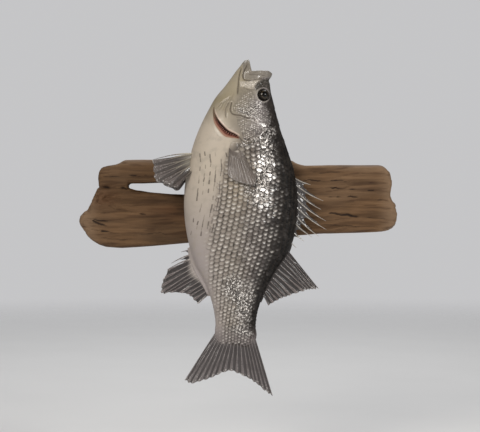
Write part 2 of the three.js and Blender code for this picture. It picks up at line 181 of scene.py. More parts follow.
def setPoints(piece, points):
    piece.data.vertices.foreach_set("co", (points * mm).astype(np.float32).ravel())
    piece.data.update()


def applyAll(piece):
    # the modifiers' result becomes the piece's own mesh
    depsgraph = bpy.context.evaluated_depsgraph_get()
    made = bpy.data.meshes.new_from_object(piece.evaluated_get(depsgraph), depsgraph=depsgraph)
    piece.modifiers.clear()
    piece.data = made


def remeshed(piece, voxel):
    # one closed surface of small even faces
    change = piece.modifiers.new("remesh", "REMESH")
    change.mode = "VOXEL"
    change.voxel_size = voxel * mm
    applyAll(piece)
    return pointsOf(piece)


def relax(piece, points, rounds, amount, weight=None):
    # each round moves the points part of the way to the middle of their neighbours
    a, b = edgeEnds(piece).T
    size = len(points)
    count = np.maximum(np.bincount(a, minlength=size) + np.bincount(b, minlength=size), 1)
    share = amount if weight is None else (amount * weight)[:, None]
    for _ in range(rounds):
        total = np.stack([
            np.bincount(a, points[b, k], size) + np.bincount(b, points[a, k], size) for k in range(3)
        ], axis=1)
        points = points + (total / count[:, None] - points) * share
    return points


def gridQuads(rows, columns, wrap=False):
    r, c = np.meshgrid(np.arange(rows - 1), np.arange(columns if wrap else columns - 1), indexing="ij")
    a = r * columns + c
    b = r * columns + (c + 1) % columns
    return np.stack([a, b, b + columns, a + columns], axis=-1).reshape(-1, 4)


def gridRim(rows, columns):
    # the points round the edge of a grid, in order
    right = np.arange(1, rows) * columns + columns - 1
    bottom = (rows - 1) * columns + np.arange(columns - 2, -1, -1)
    left = np.arange(rows - 2, 0, -1) * columns
    return np.concatenate([np.arange(columns), right, bottom, left])


def closedLoft(rings):
    # rings of points, closed by a fan over each end
    rings = np.asarray(rings)
    rows, columns = rings.shape[:2]
    points = np.vstack([rings.reshape(-1, 3), rings[0].mean(0), rings[-1].mean(0)])
    k = np.arange(columns)
    after = (k + 1) % columns
    first = np.stack([np.full(columns, rows * columns), after, k], axis=1)
    k, after = k + (rows - 1) * columns, after + (rows - 1) * columns
    last = np.stack([np.full(columns, rows * columns + 1), k, after], axis=1)
    return points, gridQuads(rows, columns, wrap=True), np.vstack([first, last])


def plate(outer, inner):
    # two grids of points, front and back, closed round their edge
    rows, columns = outer.shape[:2]
    shift = rows * columns
    quads = gridQuads(rows, columns)
    rim = gridRim(rows, columns)
    after = np.roll(rim, -1)
    skirt = np.stack([rim, rim + shift, after + shift, after], axis=1)
    points = np.vstack([outer.reshape(-1, 3), inner.reshape(-1, 3)])
    return points, np.vstack([quads, quads[:, ::-1] + shift, skirt]), np.zeros((0, 3), int)


def tube(line, radii, sides=12, flatten=None):
    # a round bar along a line; flatten squeezes it across y
    line = np.asarray(line, float)
    radii = np.broadcast_to(radii, len(line))
    ahead = np.gradient(line, axis=0)
    ahead /= np.linalg.norm(ahead, axis=1)[:, None] + 1e-9
    across = np.cross(ahead, (0.0, 1.0, 0.0))
    across /= np.linalg.norm(across, axis=1)[:, None] + 1e-9
    third = np.cross(ahead, across)
    turn = np.linspace(0, 2 * math.pi, sides, endpoint=False)
    squeeze = np.broadcast_to(1.0 if flatten is None else flatten, len(line))
    rings = [
        p + r * (np.cos(turn)[:, None] * a + q * np.sin(turn)[:, None] * t)
        for p, r, a, t, q in zip(line, radii, across, third, squeeze)
    ]
    return closedLoft(rings)


def joined(parts):
    # several (points, quads, tris) as one
    points, quads, tris = [], [], []
    start = 0
    for p, q, t in parts:
        points.append(np.asarray(p, float))
        quads.append(np.asarray(q, int).reshape(-1, 4) + start)
        tris.append(np.asarray(t, int).reshape(-1, 3) + start)
        start += len(p)
    return np.vstack(points), np.vstack(quads), np.vstack(tris)


def outward(points, quads, tris):
    # turns the faces round if they look inwards
    p = points - points.mean(0)
    volume = sum(
        np.einsum("ij,ij->i", p[f[:, 0]], np.cross(p[f[:, 1]], p[f[:, 2]])).sum()
        for f in (quads[:, [0, 1, 2]], quads[:, [0, 2, 3]], tris)
    )
    return (points, quads, tris) if volume > 0 else (points, quads[:, ::-1], tris[:, ::-1])


def ballAt(centre, size, rows=14, columns=20):
    a = np.linspace(0.08, math.pi - 0.08, rows)[:, None]
    b = np.linspace(0, 2 * math.pi, columns, endpoint=False)[None]
    rings = np.stack([np.sin(a) * np.cos(b), np.sin(a) * np.sin(b), np.cos(a) + 0 * b], axis=-1)
    return closedLoft(np.asarray(centre) + rings * size)


def cutAway(piece, cutter):
    change = piece.modifiers.new("cut", "BOOLEAN")
    change.operation = "DIFFERENCE"
    change.solver = "MANIFOLD"
    change.object = cutter
    applyAll(piece)
    bpy.data.objects.remove(cutter)


# how the fish sits on the wood, and how its snout and tail bend off it
pose = {"centre": (1.8, -52.5, -0.5), "lean": math.radians(3.7), "roll": math.radians(8)}
bend = {"middle": 20, "reach": 238, "depth": 8}
keel = {"back": 1.12, "belly": 0.86}     # above 1 the body narrows to a ridge, below 1 it is full
# sections of the body: z, back, belly, widest level, half width
stations = np.array([
    (162.4, 3, -5, -1, 1.2), (160, 12, -7.4, 0, 6), (155, 19, -10.6, 1.2, 10), (149, 25.4, -14.8, 2.8, 12.4),
    (141, 24.4, -19.9, 2.5, 13.6), (130, 25.8, -27.1, 1, 16), (118, 29.6, -35.8, 0, 19.4),
    (103, 35, -43.1, -1, 23), (86, 41, -50.6, -2, 25.4), (64, 50.3, -57.6, -3, 27),
    (41, 59.5, -62, -3, 27.6), (12, 65.1, -64.7, -3, 27), (-19, 65.6, -62.9, -2, 25),
    (-49, 60.2, -56.2, 0, 21), (-74, 46, -46.8, 1, 16.2), (-97, 35.2, -32.9, 2, 11.6),
    (-119, 28.3, -24.1, 2.5, 8.6), (-138, 26.4, -20.2, 3, 6.4), (-147, 28, -20.5, 3, 3.6),
    (-155, 27, -19, 3.5, 2.1), (-164, 20, -11, 3.5, 0.7),
])[::-1]
coatDepth = 0.9     # room left for the scales between the skin and the fish's outline
leastHalf = 0.4


def toRoom(points):
    points = np.asarray(points, float)
    u, y, z = points[..., 0], points[..., 1], points[..., 2]
    cr, sr = math.cos(pose["roll"]), math.sin(pose["roll"])
    cl, sl = math.cos(pose["lean"]), math.sin(pose["lean"])
    x, y = u * cr - y * sr, u * sr + y * cr
    return np.stack([x * cl + z * sl, y, -x * sl + z * cl], axis=-1) + pose["centre"]


def sway(z):
    return -bend["depth"] * ((z - bend["middle"]) / bend["reach"]) ** 2


def sectionAt(z, table=stations):
    # back, belly, widest and half at a place along the body, on smooth curves through the table
    count = len(table)
    z = np.clip(z, table[0, 0], table[-1, 0])
    i = np.clip(np.searchsorted(table[:, 0], z, side="right") - 1, 0, count - 2)
    low, high = np.maximum(np.arange(count) - 1, 0), np.minimum(np.arange(count) + 1, count - 1)
    slope = (table[high, 1:] - table[low, 1:]) / (table[high, :1] - table[low, :1])
    span = table[i + 1, 0] - table[i, 0]
    t = ((z - table[i, 0]) / span)[..., None]
    span = span[..., None]
    a, b = table[i, 1:], table[i + 1, 1:]
    value = (2 * t ** 3 - 3 * t ** 2 + 1) * a + (t ** 3 - 2 * t ** 2 + t) * span * slope[i]
    value += (3 * t ** 2 - 2 * t ** 3) * b + (t ** 3 - t ** 2) * span * slope[i + 1]
    return np.moveaxis(value, -1, 0)


def onBody(angle, z, side=1, grow=0.0):
    # angle runs from 0 at the back to pi at the belly, down one side; side 1 is the left
    back, belly, widest, half = sectionAt(z)
    c, s = np.cos(angle), np.sin(angle)
    reach = np.where(c > 0, back - widest, widest - belly) + grow
    power = np.where(c > 0, keel["back"], keel["belly"])
    u = widest + c * np.maximum(reach, leastHalf)
    y = sway(z) - side * np.sign(s) * np.abs(s) ** power * np.maximum(half + grow, leastHalf)
    return np.stack([u, y, z + 0 * u], axis=-1)


def halfWidth(u, z):
    back, belly, widest, half = sectionAt(z)
    above = u > widest
    reach = np.where(above, back - widest, widest - belly)
    part = np.clip(np.abs(u - widest) / reach, 0, 1)
    return half * (1 - part ** 2) ** (np.where(above, keel["back"], keel["belly"]) / 2)


def onFlank(u, z, side, sink):
    # y of a place seen from the side, sunk below the plain body
    return sway(z) - side * (halfWidth(u, z) - sink)


# lines of the head in side view, as (u, z)
lines = {
    "gill": [(31, 91), (24.8, 89.4), (20.2, 82.2), (15.7, 77.2), (10.2, 72.9), (4.6, 70), (-0.9, 67.6),
             (-5.5, 68.2), (-11.6, 74.6), (-22.9, 80), (-29.8, 86.3), (-34.3, 91.9), (-37.7, 99.6),
             (-38.9, 107.8)],
    "cheek": [(-20.5, 110.7), (-21.5, 104), (-20.5, 100.4), (-18.2, 98.2), (-13.7, 97.5), (-9.3, 97.2),
              (-4.2, 95.6), (1.6, 94.3), (8.6, 92.6), (15.1, 92), (23, 92.6)],
    "underCheek": [(-22.8, 112.3), (-25.8, 105.8), (-26.6, 99.5), (-25.2, 92.8)],
    "gular": [(-10.4, 153.1), (-12.5, 144.7), (-13.2, 137.7), (-13.9, 126), (-13.9, 119.1)],
    "maxilla": [(-4.4, 158.6), (-5.6, 153.1), (-8, 148.3), (-9.2, 143.7), (-7.8, 139.4), (-5, 138),
                (-1, 138.2), (4, 139.2), (9, 140.2), (14, 141.4), (20, 143.2)],
    "bar": [(-2.9, 144.4), (1.6, 145), (7.2, 144.8), (12.9, 144.7), (18.3, 145.9)],
    "snoutFold": [(17.6, 142.3), (13.4, 140.9), (9.9, 138.7), (7.1, 135.9), (4.5, 131.7)],
    "underPatch": [(-7.5, 130.5), (-3.5, 127.6), (1, 127.3), (6.1, 128.7)],
    "coverUpper": [(-6.2, 81.3), (-0.6, 80.6), (4.7, 77.9), (9, 74.6)],
    "coverLower": [(1.5, 84.4), (6.3, 81.2), (10.6, 77.2)],
    "coverFront": [(-14.7, 94.9), (-8.6, 94.9)],
    "coverMiddle": [(-13.9, 92.3), (-9.3, 92.4)],
    "slitRear": [(-39.4, 106), (-40, 97), (-38.3, 87.2), (-32.6, 78.8), (-25.7, 72.4), (-16.9, 71.3),
                 (-9.4, 71)],
}
# creases of the head: line, depth, half width, strength of the painted shade in them
creases = (
    ("underCheek", 0.6, 0.8, 0.65), ("gular", 1.0, 0.8, 0.9), ("maxilla", 1.1, 0.75, 1.0),
    ("bar", 0.35, 0.5, 0.55), ("snoutFold", 0.5, 0.7, 0.3), ("underPatch", 0.4, 0.7, 0.5),
    ("coverUpper", 0.45, 0.6, 0.55), ("coverLower", 0.45, 0.6, 0.55), ("coverFront", 0.4, 0.6, 0.5),
    ("coverMiddle", 0.4, 0.6, 0.5),
)
# patches of the head with a colour of their own
noseOutline = [(20, 142.6), (14.6, 140.8), (10.2, 138), (7.2, 135), (5, 131.1), (6.2, 126.9), (9.1, 128.7),
               (13.8, 130.8), (20.1, 131.5), (25.3, 128.4), (27.9, 123.8), (45, 124), (45, 142)]
creamOutline = [(-12.4, 136.5), (-7.7, 136.2), (-3.8, 137), (1.7, 140.2), (7.4, 141.6), (12.8, 140.8),
                (8.7, 137.8), (4.5, 131.7), (0.4, 128.6), (-4.7, 129.4), (-10.3, 130.9)]
smokeOutline = [(-13.5, 134), (-7, 130.5), (-3, 127), (4, 126), (6, 119), (1, 112), (-6, 105), (-13, 101),
                (-18.5, 101), (-19, 106), (-16, 113), (-14, 121)]
# where the silver still glitters: line, half width, strength. There it is more metallic and its scales tilt
# more, and glints and the shade between them are painted into its colour
shineLines = (
    ([(30, 88), (27, 76), (23, 50), (18, 22), (16, 8)], 9.5, 1.0), ([(4, 14), (16, 12)], 6, 0.8),
    ([(-3, -96), (8, -108), (12, -122)], 12, 1.0), ([(8, -20), (6, -60)], 14, 0.10),
    ([(4, -143), (20, -146)], 5, 0.6), ([(9.6, 111.2), (2.8, 105.5), (-2.6, 98.3)], 5.0, 0.75),
    ([(-9, 103.7), (-0.3, 97.7), (9.7, 93.6)], 4.0, 0.75), ([(4.3, 85.8), (4.4, 85.8)], 2.0, 0.9),
    ([(8, 81.6), (8.1, 81.6)], 1.1, 0.8), ([(-6, 66), (4, 67), (14, 74)], 3.2, 0.8),
    ([(-14, 132), (2, 134)], 4.0, 0.5),
)
eye = {
    "at": (15.7, 122.8), "radius": 7.45, "sink": 5.0, "facing": (0.24, 0.96, 0.10), "cornea": 0.035,
    "socket": 7.3, "bowl": 6.0, "ring": 8.1, "furrow": 10.2,
}
# the open mouth in side view
notch = [(0.8, 148), (20.4, 150.3), (24, 149.8), (27.5, 146.5), (60, 146.5), (60, 200), (-1.4, 200),
         (-1.4, 161.4)]
# z, back, belly, half width of the hollow behind the lips
hollow = np.array([
    (160.6, 30, -5, 2.6), (157, 30, -7.2, 6.4), (149, 23, -12.4, 10.2), (141, 17, -15, 10.2),
    (128, 6, -15, 8), (116, -4, -12, 3),
])[::-1]

lowGillFrom = lines["gill"][8]     # below this place the gill opening gapes
gillCurve, cheekCurve, slitCurve = [curveThrough(lines[key]) for key in ("gill", "cheek", "slitRear")]
coverOutline = np.vstack([gillCurve, cheekCurve])
lowGill = gillCurve[np.argmin(np.hypot(*(gillCurve - lowGillFrom).T)):]
slitOutline = np.vstack([slitCurve, lowGill])

headRelief = {
    "coverLift": 0.25, "coverEdge": 1.05,      # the gill cover over the body, and more along its rear edge
    "slit": 0.5, "slitDeeper": 4.4,            # depth of the gill opening at its rear, and under the cover
    "cheekGroove": 0.75, "cheekRidge": 0.55, "teeth": 44,
    "membraneRays": 4, "membraneTrough": 0.45, "membraneShade": 0.22,
    "nostrils": ((14.4, 136.0, 1.1), (16.2, 132.6, 0.8)),     # u, z, size
    "upperLip": [(0.7, 148.2), (10, 149.2), (24, 149.4)],
}


def gillRelief(u, z, height, paintedCreaseShade):
    # the gill cover, the opening behind it, and the toothed rear edge of the cheek
    plan = headRelief
    gillGone, _ = lineDistance(gillCurve, u, z)
    onCover = smooth(0.3, -0.3, edgeDistance(coverOutline, u, z))
    blend = 1 - smooth(98, 107, z) * smooth(-16, -24, u)     # it runs into the throat at its lower front
    height += onCover * blend * (plan["coverLift"] + plan["coverEdge"] * bell(gillGone, 9))
    slit = smooth(0.25, -0.35, edgeDistance(slitOutline, u, z))
    rearGone, _ = lineDistance(slitCurve, u, z)
    deep = slit * rearGone / (rearGone + gillGone + 0.3)
    behind = (1 - onCover) * (1 - slit) * (z < 100)
    height -= behind * 1.0 * bell(gillGone, 1.5)
    # painted shade in the gap behind the cover's edge
    paintedCreaseShade = np.maximum(paintedCreaseShade, behind * bell(gillGone, 1.0) * 0.6)
    height -= slit * (plan["slit"] + plan["slitDeeper"] * deep)

    gone, place = lineDistance(cheekCurve, u, z)
    teeth = 0.5 + 0.5 * np.sin(place * 2 * math.pi * plan["teeth"])
    fade = smooth(0.92, 0.5, place)
    height -= plan["cheekGroove"] * bell(gone, 0.8) * (0.25 + 0.75 * fade) * smooth(1.0, 0.9, place)
    ridge = plan["cheekRidge"] * bell(gone - 2.2, 1.6)
    height += np.where(onCover < 0.5, ridge, -0.2 * bell(gone - 1.2, 0.8) * teeth) * (0.2 + 0.8 * fade)
    return height, np.maximum(paintedCreaseShade, bell(gone, 0.7) * fade), slit, deep


def relief(u, z):
    # how far the skin of the head stands off the plain body, how much painted shade its creases get and how
    # red it is, and the pale ring under the eye
    plan = headRelief
    height, paintedCreaseShade, slit, deep = gillRelief(u, z, np.zeros(u.shape), np.zeros(u.shape))
    for key, depth, width, shadeStrength in creases:
        gone, place = lineDistance(curveThrough(lines[key]), u, z)
        taper = smooth(0, 0.12, place) * smooth(1, 0.86, place)
        height -= depth * bell(gone, width) * taper
        paintedCreaseShade = np.maximum(paintedCreaseShade, shadeStrength * bell(gone, width * 0.85) * taper)

    lipGone, _ = lineDistance(plan["upperLip"], u, z)
    height += 0.5 * bell(lipGone - 1.5, 2.4)
    height -= 1.3 * bell(z - 140.6, 2.6) * smooth(16, 23, u)     # the snout draws back under the jaw's tip

    # rays of the gill membrane, as shallow troughs from the throat to the opening, with painted shade in them
    for k in range(1, plan["membraneRays"] + 1):
        start, end = (-14.5 - 2.6 * k, 128 - 3 * k), (-22 - 4.1 * k, 96 + 1.2 * k)
        middle = ((start[0] + end[0]) / 2 - 1.5, (start[1] + end[1]) / 2)
        gone, place = lineDistance([start, middle, end], u, z)
        taper = smooth(0, 0.3, place) * smooth(1, 0.8, place)
        height -= plan["membraneTrough"] * bell(gone, 0.8) * taper
        paintedCreaseShade = np.maximum(paintedCreaseShade, plan["membraneShade"] * bell(gone, 0.7) * taper)

    du, dz = u - eye["at"][0], z - eye["at"][1]
    r = np.hypot(du, dz)
    height += 0.5 * bell(r - eye["ring"], 0.7) - 0.3 * bell(r - eye["furrow"], 0.9)
    below = smooth(-0.5, 0.6, -(0.6 * du + 0.8 * dz) / (r + 0.1))
    ringMark = bell(r - eye["ring"], 0.55) * (0.12 + 0.88 * below)
    for nu, nz, size in plan["nostrils"]:
        gone = np.hypot(u - nu, z - nz)
        height += 0.35 * bell(gone - size - 0.5, 0.5) - 1.3 * bell(gone, size * 0.75)
        # painted shade in the nostrils
        paintedCreaseShade = np.maximum(paintedCreaseShade, bell(gone, size * 0.7))
    return height, paintedCreaseShade, slit * (0.25 + 0.75 * deep), ringMark


# where scales grow: everything behind the head, and patches of the cheek and the gill cover
scaleFront = [(-70, 100), (-52, 96), (-42, 86), (-38, 79), (-33, 72), (-25.7, 66.5), (-12, 66.2),
              (-5.5, 65.4), (-0.9, 65), (4.6, 67.4), (10.2, 70.4), (15.2, 75), (19.6, 80.5), (24.8, 88.4),
              (28, 98), (31, 108), (36, 114), (70, 116)]
cheekPatch = [(1, 126), (-6, 121), (-13, 113), (-17, 108.5), (-17, 102.5), (-8, 99.8), (2, 97.4),
              (14, 95.4), (25, 96), (29, 106), (25, 112.5), (17, 112.8), (9, 114), (5, 119)]
coverPatch = [(-8, 93), (2, 91.6), (10, 90), (18, 89.4), (24.5, 89.4), (20, 84), (14.4, 78.4), (9.4, 74.6),
              (4.2, 71.8), (-0.9, 69.6), (-4.8, 70.4), (-7, 76), (-8, 83), (-12, 86), (-12, 90)]


def rimOf(u, z):
    # how far outside the scaled patches of the head a place is
    return np.minimum(edgeDistance(cheekPatch, u, z), edgeDistance(coverPatch, u, z))


def scaled(u, z):
    front = np.array(scaleFront, float)
    trunk = smooth(0.6, -0.6, z - np.interp(u, front[:, 0], front[:, 1]))
    return trunk, smooth(0.6, -0.6, rimOf(u, z))


skinPlan = {
    "sides": 112, "ringStep": 1.6, "voxel": 0.62, "lowerLip": 1.35, "patchSink": 0.45,
    "unevenness": 0.25, "trunkKeep": 0.16, "trunkFrom": 60, "trunkFade": 8,
    # fleshy bases of the fins: side of the body (1 is the back), start and end, radius, how far out
    "finBases": ((-1, (-54, -108), 3.4, 1.5), (1, (-44, -112), 2.4, 0.6), (1, (34, -44), 1.7, 0.3)),
    "pelvicBoss": {"at": (-55, 47), "off": 5.5, "size": (6, 4.2, 8.5)},
    "pectoralBoss": {"at": (-14, 62), "sink": 0.8, "size": (6.2, 2.8, 6.5)},
}


def lipLine(us, zs, sink):
    # from the left corner of the mouth round the snout to the right one
    y = np.maximum(halfWidth(us, zs) - sink, 0.0)
    left = np.stack([us, sway(zs) - y, zs], axis=1)
    right = np.stack([us, sway(zs) + y, zs], axis=1)[::-1]
    return np.vstack([left, right])


def lipMark(u, z):
    # the pale bar of the upper jaw, and the pale lip of the lower one
    upperEdge = np.interp(u, [-9, -5, 4, 14, 20, 26], [140.6, 138.4, 139.6, 141.8, 143.4, 143.6])
    upper = smooth(0, 0.9, z - upperEdge) * smooth(-9.5, -8, u)
    return np.maximum(upper, smooth(-4.5, -2.5, u) * smooth(146, 148, z))


def plainBody():
    # the body as one loft, with the mouth cut into it
    turn = np.linspace(0, 2 * math.pi, skinPlan["sides"], endpoint=False)
    low, high = stations[0, 0], stations[-1, 0]
    places = np.linspace(low, high, int((high - low) / skinPlan["ringStep"]))
    body = meshObject("fish_skin", *outward(*closedLoft([onBody(turn, z) for z in places])))

    outline = np.array(notch, float)
    reach = 60.0
    sides = [
        np.stack([outline[:, 0], np.full(len(outline), y), outline[:, 1]], axis=1) for y in (-reach, reach)
    ]
    cutAway(body, meshObject("notch", *outward(*closedLoft(sides))))
    turn = np.linspace(0, 2 * math.pi, 40, endpoint=False)
    rings = []
    for z in np.linspace(hollow[0, 0], hollow[-1, 0], 30):
        back, belly, half = sectionAt(z, hollow)
        u = (back + belly) / 2 + np.cos(turn) * (back - belly) / 2
        rings.append(np.stack([u, sway(z) - np.sin(turn) * half, np.full(len(turn), z)], axis=1))
    cutAway(body, meshObject("hollow", *outward(*closedLoft(rings))))
    return body


def lipsAndBases():
    # the lips, and the flesh that the fins stand on
    plan = skinPlan
    lipZ = np.concatenate([np.linspace(147.4, 160, 16), np.linspace(160.5, 161.7, 5)])
    lower = lipLine(np.interp(lipZ, [147, 150, 162], [0.2, -1.2, -2.6]), lipZ, 0.7)
    upperU = np.concatenate([np.linspace(0.6, 20, 14), np.linspace(21, 24.4, 6)])
    upper = lipLine(upperU, np.interp(upperU, [0, 20.4, 24.6], [147.6, 149.6, 148]), 0.9)
    fullness = np.interp(np.linspace(-1, 1, len(upper)), [-1, -0.7, 0, 0.7, 1], [1, 1.5, 1.3, 1.5, 1])
    extras = [tube(lower, plan["lowerLip"]), tube(upper, fullness)]
    for side, (start, end), size, ahead in plan["finBases"]:
        z = np.linspace(start, end, 24)
        back, belly, _, _ = sectionAt(z)
        u = (back + ahead) if side > 0 else (belly - ahead)
        swell = size * np.sqrt(np.sin(np.linspace(0.25, math.pi - 0.2, 24)))
        extras.append(tube(np.stack([u, sway(z), z], axis=1), swell, flatten=0.62))
    for side in (1, -1):
        boss = plan["pelvicBoss"]
        u, z = boss["at"]
        extras.append(ballAt((u, sway(z - 1) - side * boss["off"], z), boss["size"]))
        boss = plan["pectoralBoss"]
        u, z = boss["at"]
        extras.append(ballAt((u, onFlank(np.array(u), z, side, boss["sink"]), z), boss["size"]))
    return meshObject("extras", *joined([outward(*e) for e in extras]))


def thinTrunk(body, weights):
    # larger faces under the scales, where no detail of the skin shows
    group = body.vertex_groups.new(name="trunk")
    for level in (0.25, 0.5, 1.0):
        picked = np.nonzero((weights > level - 0.25) & (weights <= level))[0]
        group.add(picked.tolist(), level, "REPLACE")
    thin = body.modifiers.new("thin", "DECIMATE")
    thin.ratio = 1 - (1 - skinPlan["trunkKeep"]) * float((weights > 0.5).mean())
    thin.vertex_group = "trunk"
    applyAll(body)
    body.vertex_groups.clear()


def buildSkin():
    plan = skinPlan
    body, extra = plainBody(), lipsAndBases()
    with bpy.context.temp_override(active_object=body, selected_editable_objects=[body, extra]):
        bpy.ops.object.join()
    p = remeshed(body, plan["voxel"])
    p = relax(body, p, 4, 0.5)
    setPoints(body, p)
    print("skin remeshed:", len(p), "points")

    n = normalsOf(body)
    u, y, z = p.T
    deep = halfWidth(u, z) - np.abs(y - sway(z))
    outer = np.where(z > 105, smooth(2.4, 1.2, deep), 1.0)     # 0 on the lining of the mouth
    height, paintedCreaseShade, slit, ringMark = relief(u, z)
    trunk, cheek = scaled(u, z)
    gillGone, _ = lineDistance(lowGill, u, z)
    onCover = smooth(-0.2, 0.3, -edgeDistance(coverOutline, u, z))
    # a painted highlight along the gill cover's lower edge
    rim = bell(gillGone - 0.9, 0.8) * (1 - slit) * onCover * smooth(104, 96, z)
    headMask = smooth(52, 66, z)
    total = height * outer * headMask - coatAt(bodyMarks(p)["silver"]) * trunk
    total = total - plan["patchSink"] * smooth(0.5, -3.5, rimOf(u, z)) * outer
    total += plan["unevenness"] * (noise(p, 7, 3) - 0.5) * headMask * outer
    p = p + n * total[:, None]
    r = np.hypot(u - eye["at"][0], z - eye["at"][1])
    bowl = eye["bowl"] * np.clip(1 - (r / eye["socket"]) ** 6, 0, 1)
    p[:, 1] += np.sign(y - sway(z)) * -bowl * outer
    p = relax(body, p, 1, 0.35, weight=1 - 0.7 * headMask)
    setPoints(body, p)
    setMarks(body, {
        "paintedCreaseShade": paintedCreaseShade * outer * headMask, "red": slit * outer, "lining": 1 - outer, "rim": rim * outer,
        "ringMark": ringMark * outer, "lip": lipMark(u, z) * outer,
        "bare": 1 - np.maximum(trunk, cheek * outer),
        "nose": smooth(1.0, -1.2, edgeDistance(noseOutline, u, z)) * outer,
        "cream": smooth(0.8, -1.2, edgeDistance(creamOutline, u, z)) * outer,
        "smoke": smooth(2.0, -3.0, edgeDistance(smokeOutline, u, z)) * outer,
    })
    thinTrunk(body, np.clip((plan["trunkFrom"] - p[:, 2]) / plan["trunkFade"], 0, 1))
    p = pointsOf(body)
    setMarks(body, bodyMarks(p))
    setPoints(body, toRoom(p))
    shadeSmooth(body)
    print("skin:", len(body.data.polygons), "faces")
    return body


# where the cream of the belly gives way to silver, as (z, u)
silverEdge = np.array([
    (-160, -10), (-140, -14), (-110, -23), (-80, -32), (-40, -36), (0, -32), (20, -28), (40, -24), (56, -18),
    (66, -13), (76, -12), (90, -24), (112, -24), (124, -12), (140, -4), (165, -4),
], float)


def coatAt(silver):
    # the scales lie thinner on the belly
    return coatDepth * (0.35 + 0.65 * silver)


def bodyMarks(p):
    # markings that the skin and the scales share: how far up the side a place is, how far along,
    # and how much of the silver and of the brassy sheen it has
    u, _, z = p.T
    back, belly, widest, _ = sectionAt(z)
    above = 0.5 + 0.5 * (u - widest) / (back - widest + 0.1)
    under = 0.5 - 0.5 * (widest - u) / (widest - belly + 0.1)
    silver = smooth(-10, 9, u - np.interp(z, silverEdge[:, 0], silverEdge[:, 1]))
    shine = np.zeros(len(u))
    for line, width, strength in shineLines:
        shine = np.maximum(shine, strength * bell(lineDistance(line, u, z)[0], width))
    return {
        "level": np.clip(np.where(u > widest, above, under), 0, 1), "silver": silver, "shine": shine,
        "brass": bell(u + 3, 20) * bell(z - 22, 26), "head": smooth(66, 96, z), "rear": smooth(50, -80, z),
        "snout": smooth(112, 132, z), "throat": smooth(78, 116, z), "tail": smooth(-134, -156, z),
    }


class Wire:
    # an output socket that can stand in a sum; Shader.node makes it
    def __init__(self, shader, socket):
        self.shader, self.socket = shader, socket

    def math(self, operation, *values, clamp=False):
        slots = dict(enumerate((self,) + values))
        return self.shader.node("ShaderNodeMath", {"operation": operation, "use_clamp": clamp}, slots)

    def __add__(self, other):
        return self.math("ADD", other)

    def __radd__(self, other):
        return self.math("ADD", other)

    def __mul__(self, other):
        return self.math("MULTIPLY", other)

    def __rmul__(self, other):
        return self.math("MULTIPLY", other)

    def __sub__(self, other):
        return self.math("SUBTRACT", other)

    def __rsub__(self, other):
        return self.shader.node("ShaderNodeMath", {"operation": "SUBTRACT"}, {0: other, 1: self})

    def __pow__(self, other):
        return self.math("POWER", other)

    def most(self, other):
        return self.math("MAXIMUM", other)

    def clamped(self):
        return self.math("ADD", 0.0, clamp=True)

    def between(self, low, high):
        # 0 at low, 1 at high, smooth in between
        slots = {0: self, 1: low, 2: high, 3: 0.0, 4: 1.0}
        return self.shader.node("ShaderNodeMapRange", {"interpolation_type": "SMOOTHSTEP"}, slots)


class Shader:
    def __init__(self, name):
        self.material = bpy.data.materials.new(name)
        self.material.use_nodes = True
        self.tree = self.material.node_tree
        self.tree.nodes.clear()

    def node(self, kind, settings=None, inputs=None, output=0):
        made = self.tree.nodes.new(kind)
        for key, value in (settings or {}).items():
            if key == "stops":
                self.setStops(made.color_ramp, value)
            else:
                setattr(made, key, value)
        for key, value in (inputs or {}).items():
            if isinstance(value, Wire):
                self.tree.links.new(value.socket, made.inputs[key])
            else:
                made.inputs[key].default_value = value
        return Wire(self, made.outputs[output]) if made.outputs else None

    def setStops(self, ramp, stops):
        for at, _ in stops[2:]:
            ramp.elements.new(at)
        for element, (at, color) in zip(ramp.elements, stops):
            element.position = at
            element.color = (*color, 1)

    def mark(self, name):
        return self.node("ShaderNodeAttribute", {"attribute_name": name}, output="Fac")

    def place(self, stretch=(1, 1, 1)):
        at = self.node("ShaderNodeTexCoord", output="Object")
        return self.node("ShaderNodeVectorMath", {"operation": "MULTIPLY"}, {0: at, 1: stretch})

    def noise(self, size, detail=3.0, rough=0.5, stretch=(1, 1, 1)):
        # size is that of one lump, in millimetres
        return self.node("ShaderNodeTexNoise", inputs={
            "Vector": self.place(stretch), "Scale": 1 / (size * mm), "Detail": detail, "Roughness": rough,
        })

    def ramp(self, factor, stops):
        return self.node("ShaderNodeValToRGB", {"stops": stops}, {"Fac": factor})

    def mix(self, factor, a, b, blend="MIX"):
        a, b = [v if isinstance(v, Wire) else (*v, 1) for v in (a, b)]
        settings = {"data_type": "RGBA", "blend_type": blend}
        return self.node("ShaderNodeMix", settings, {0: factor, 6: a, 7: b}, output=2)

    def bump(self, height, distance, normal=None, strength=1.0):
        inputs = {"Height": height, "Distance": distance * mm, "Strength": strength}
        if normal:
            inputs["Normal"] = normal
        return self.node("ShaderNodeBump", inputs=inputs)

    def finish(self, **inputs):
        # the names of the sockets, with _ for a space
        slots = {key.replace("_", " "): value for key, value in inputs.items()}
        surface = self.node("ShaderNodeBsdfPrincipled", inputs=slots)
        self.node("ShaderNodeOutputMaterial", inputs={"Surface": surface})
        return self.material


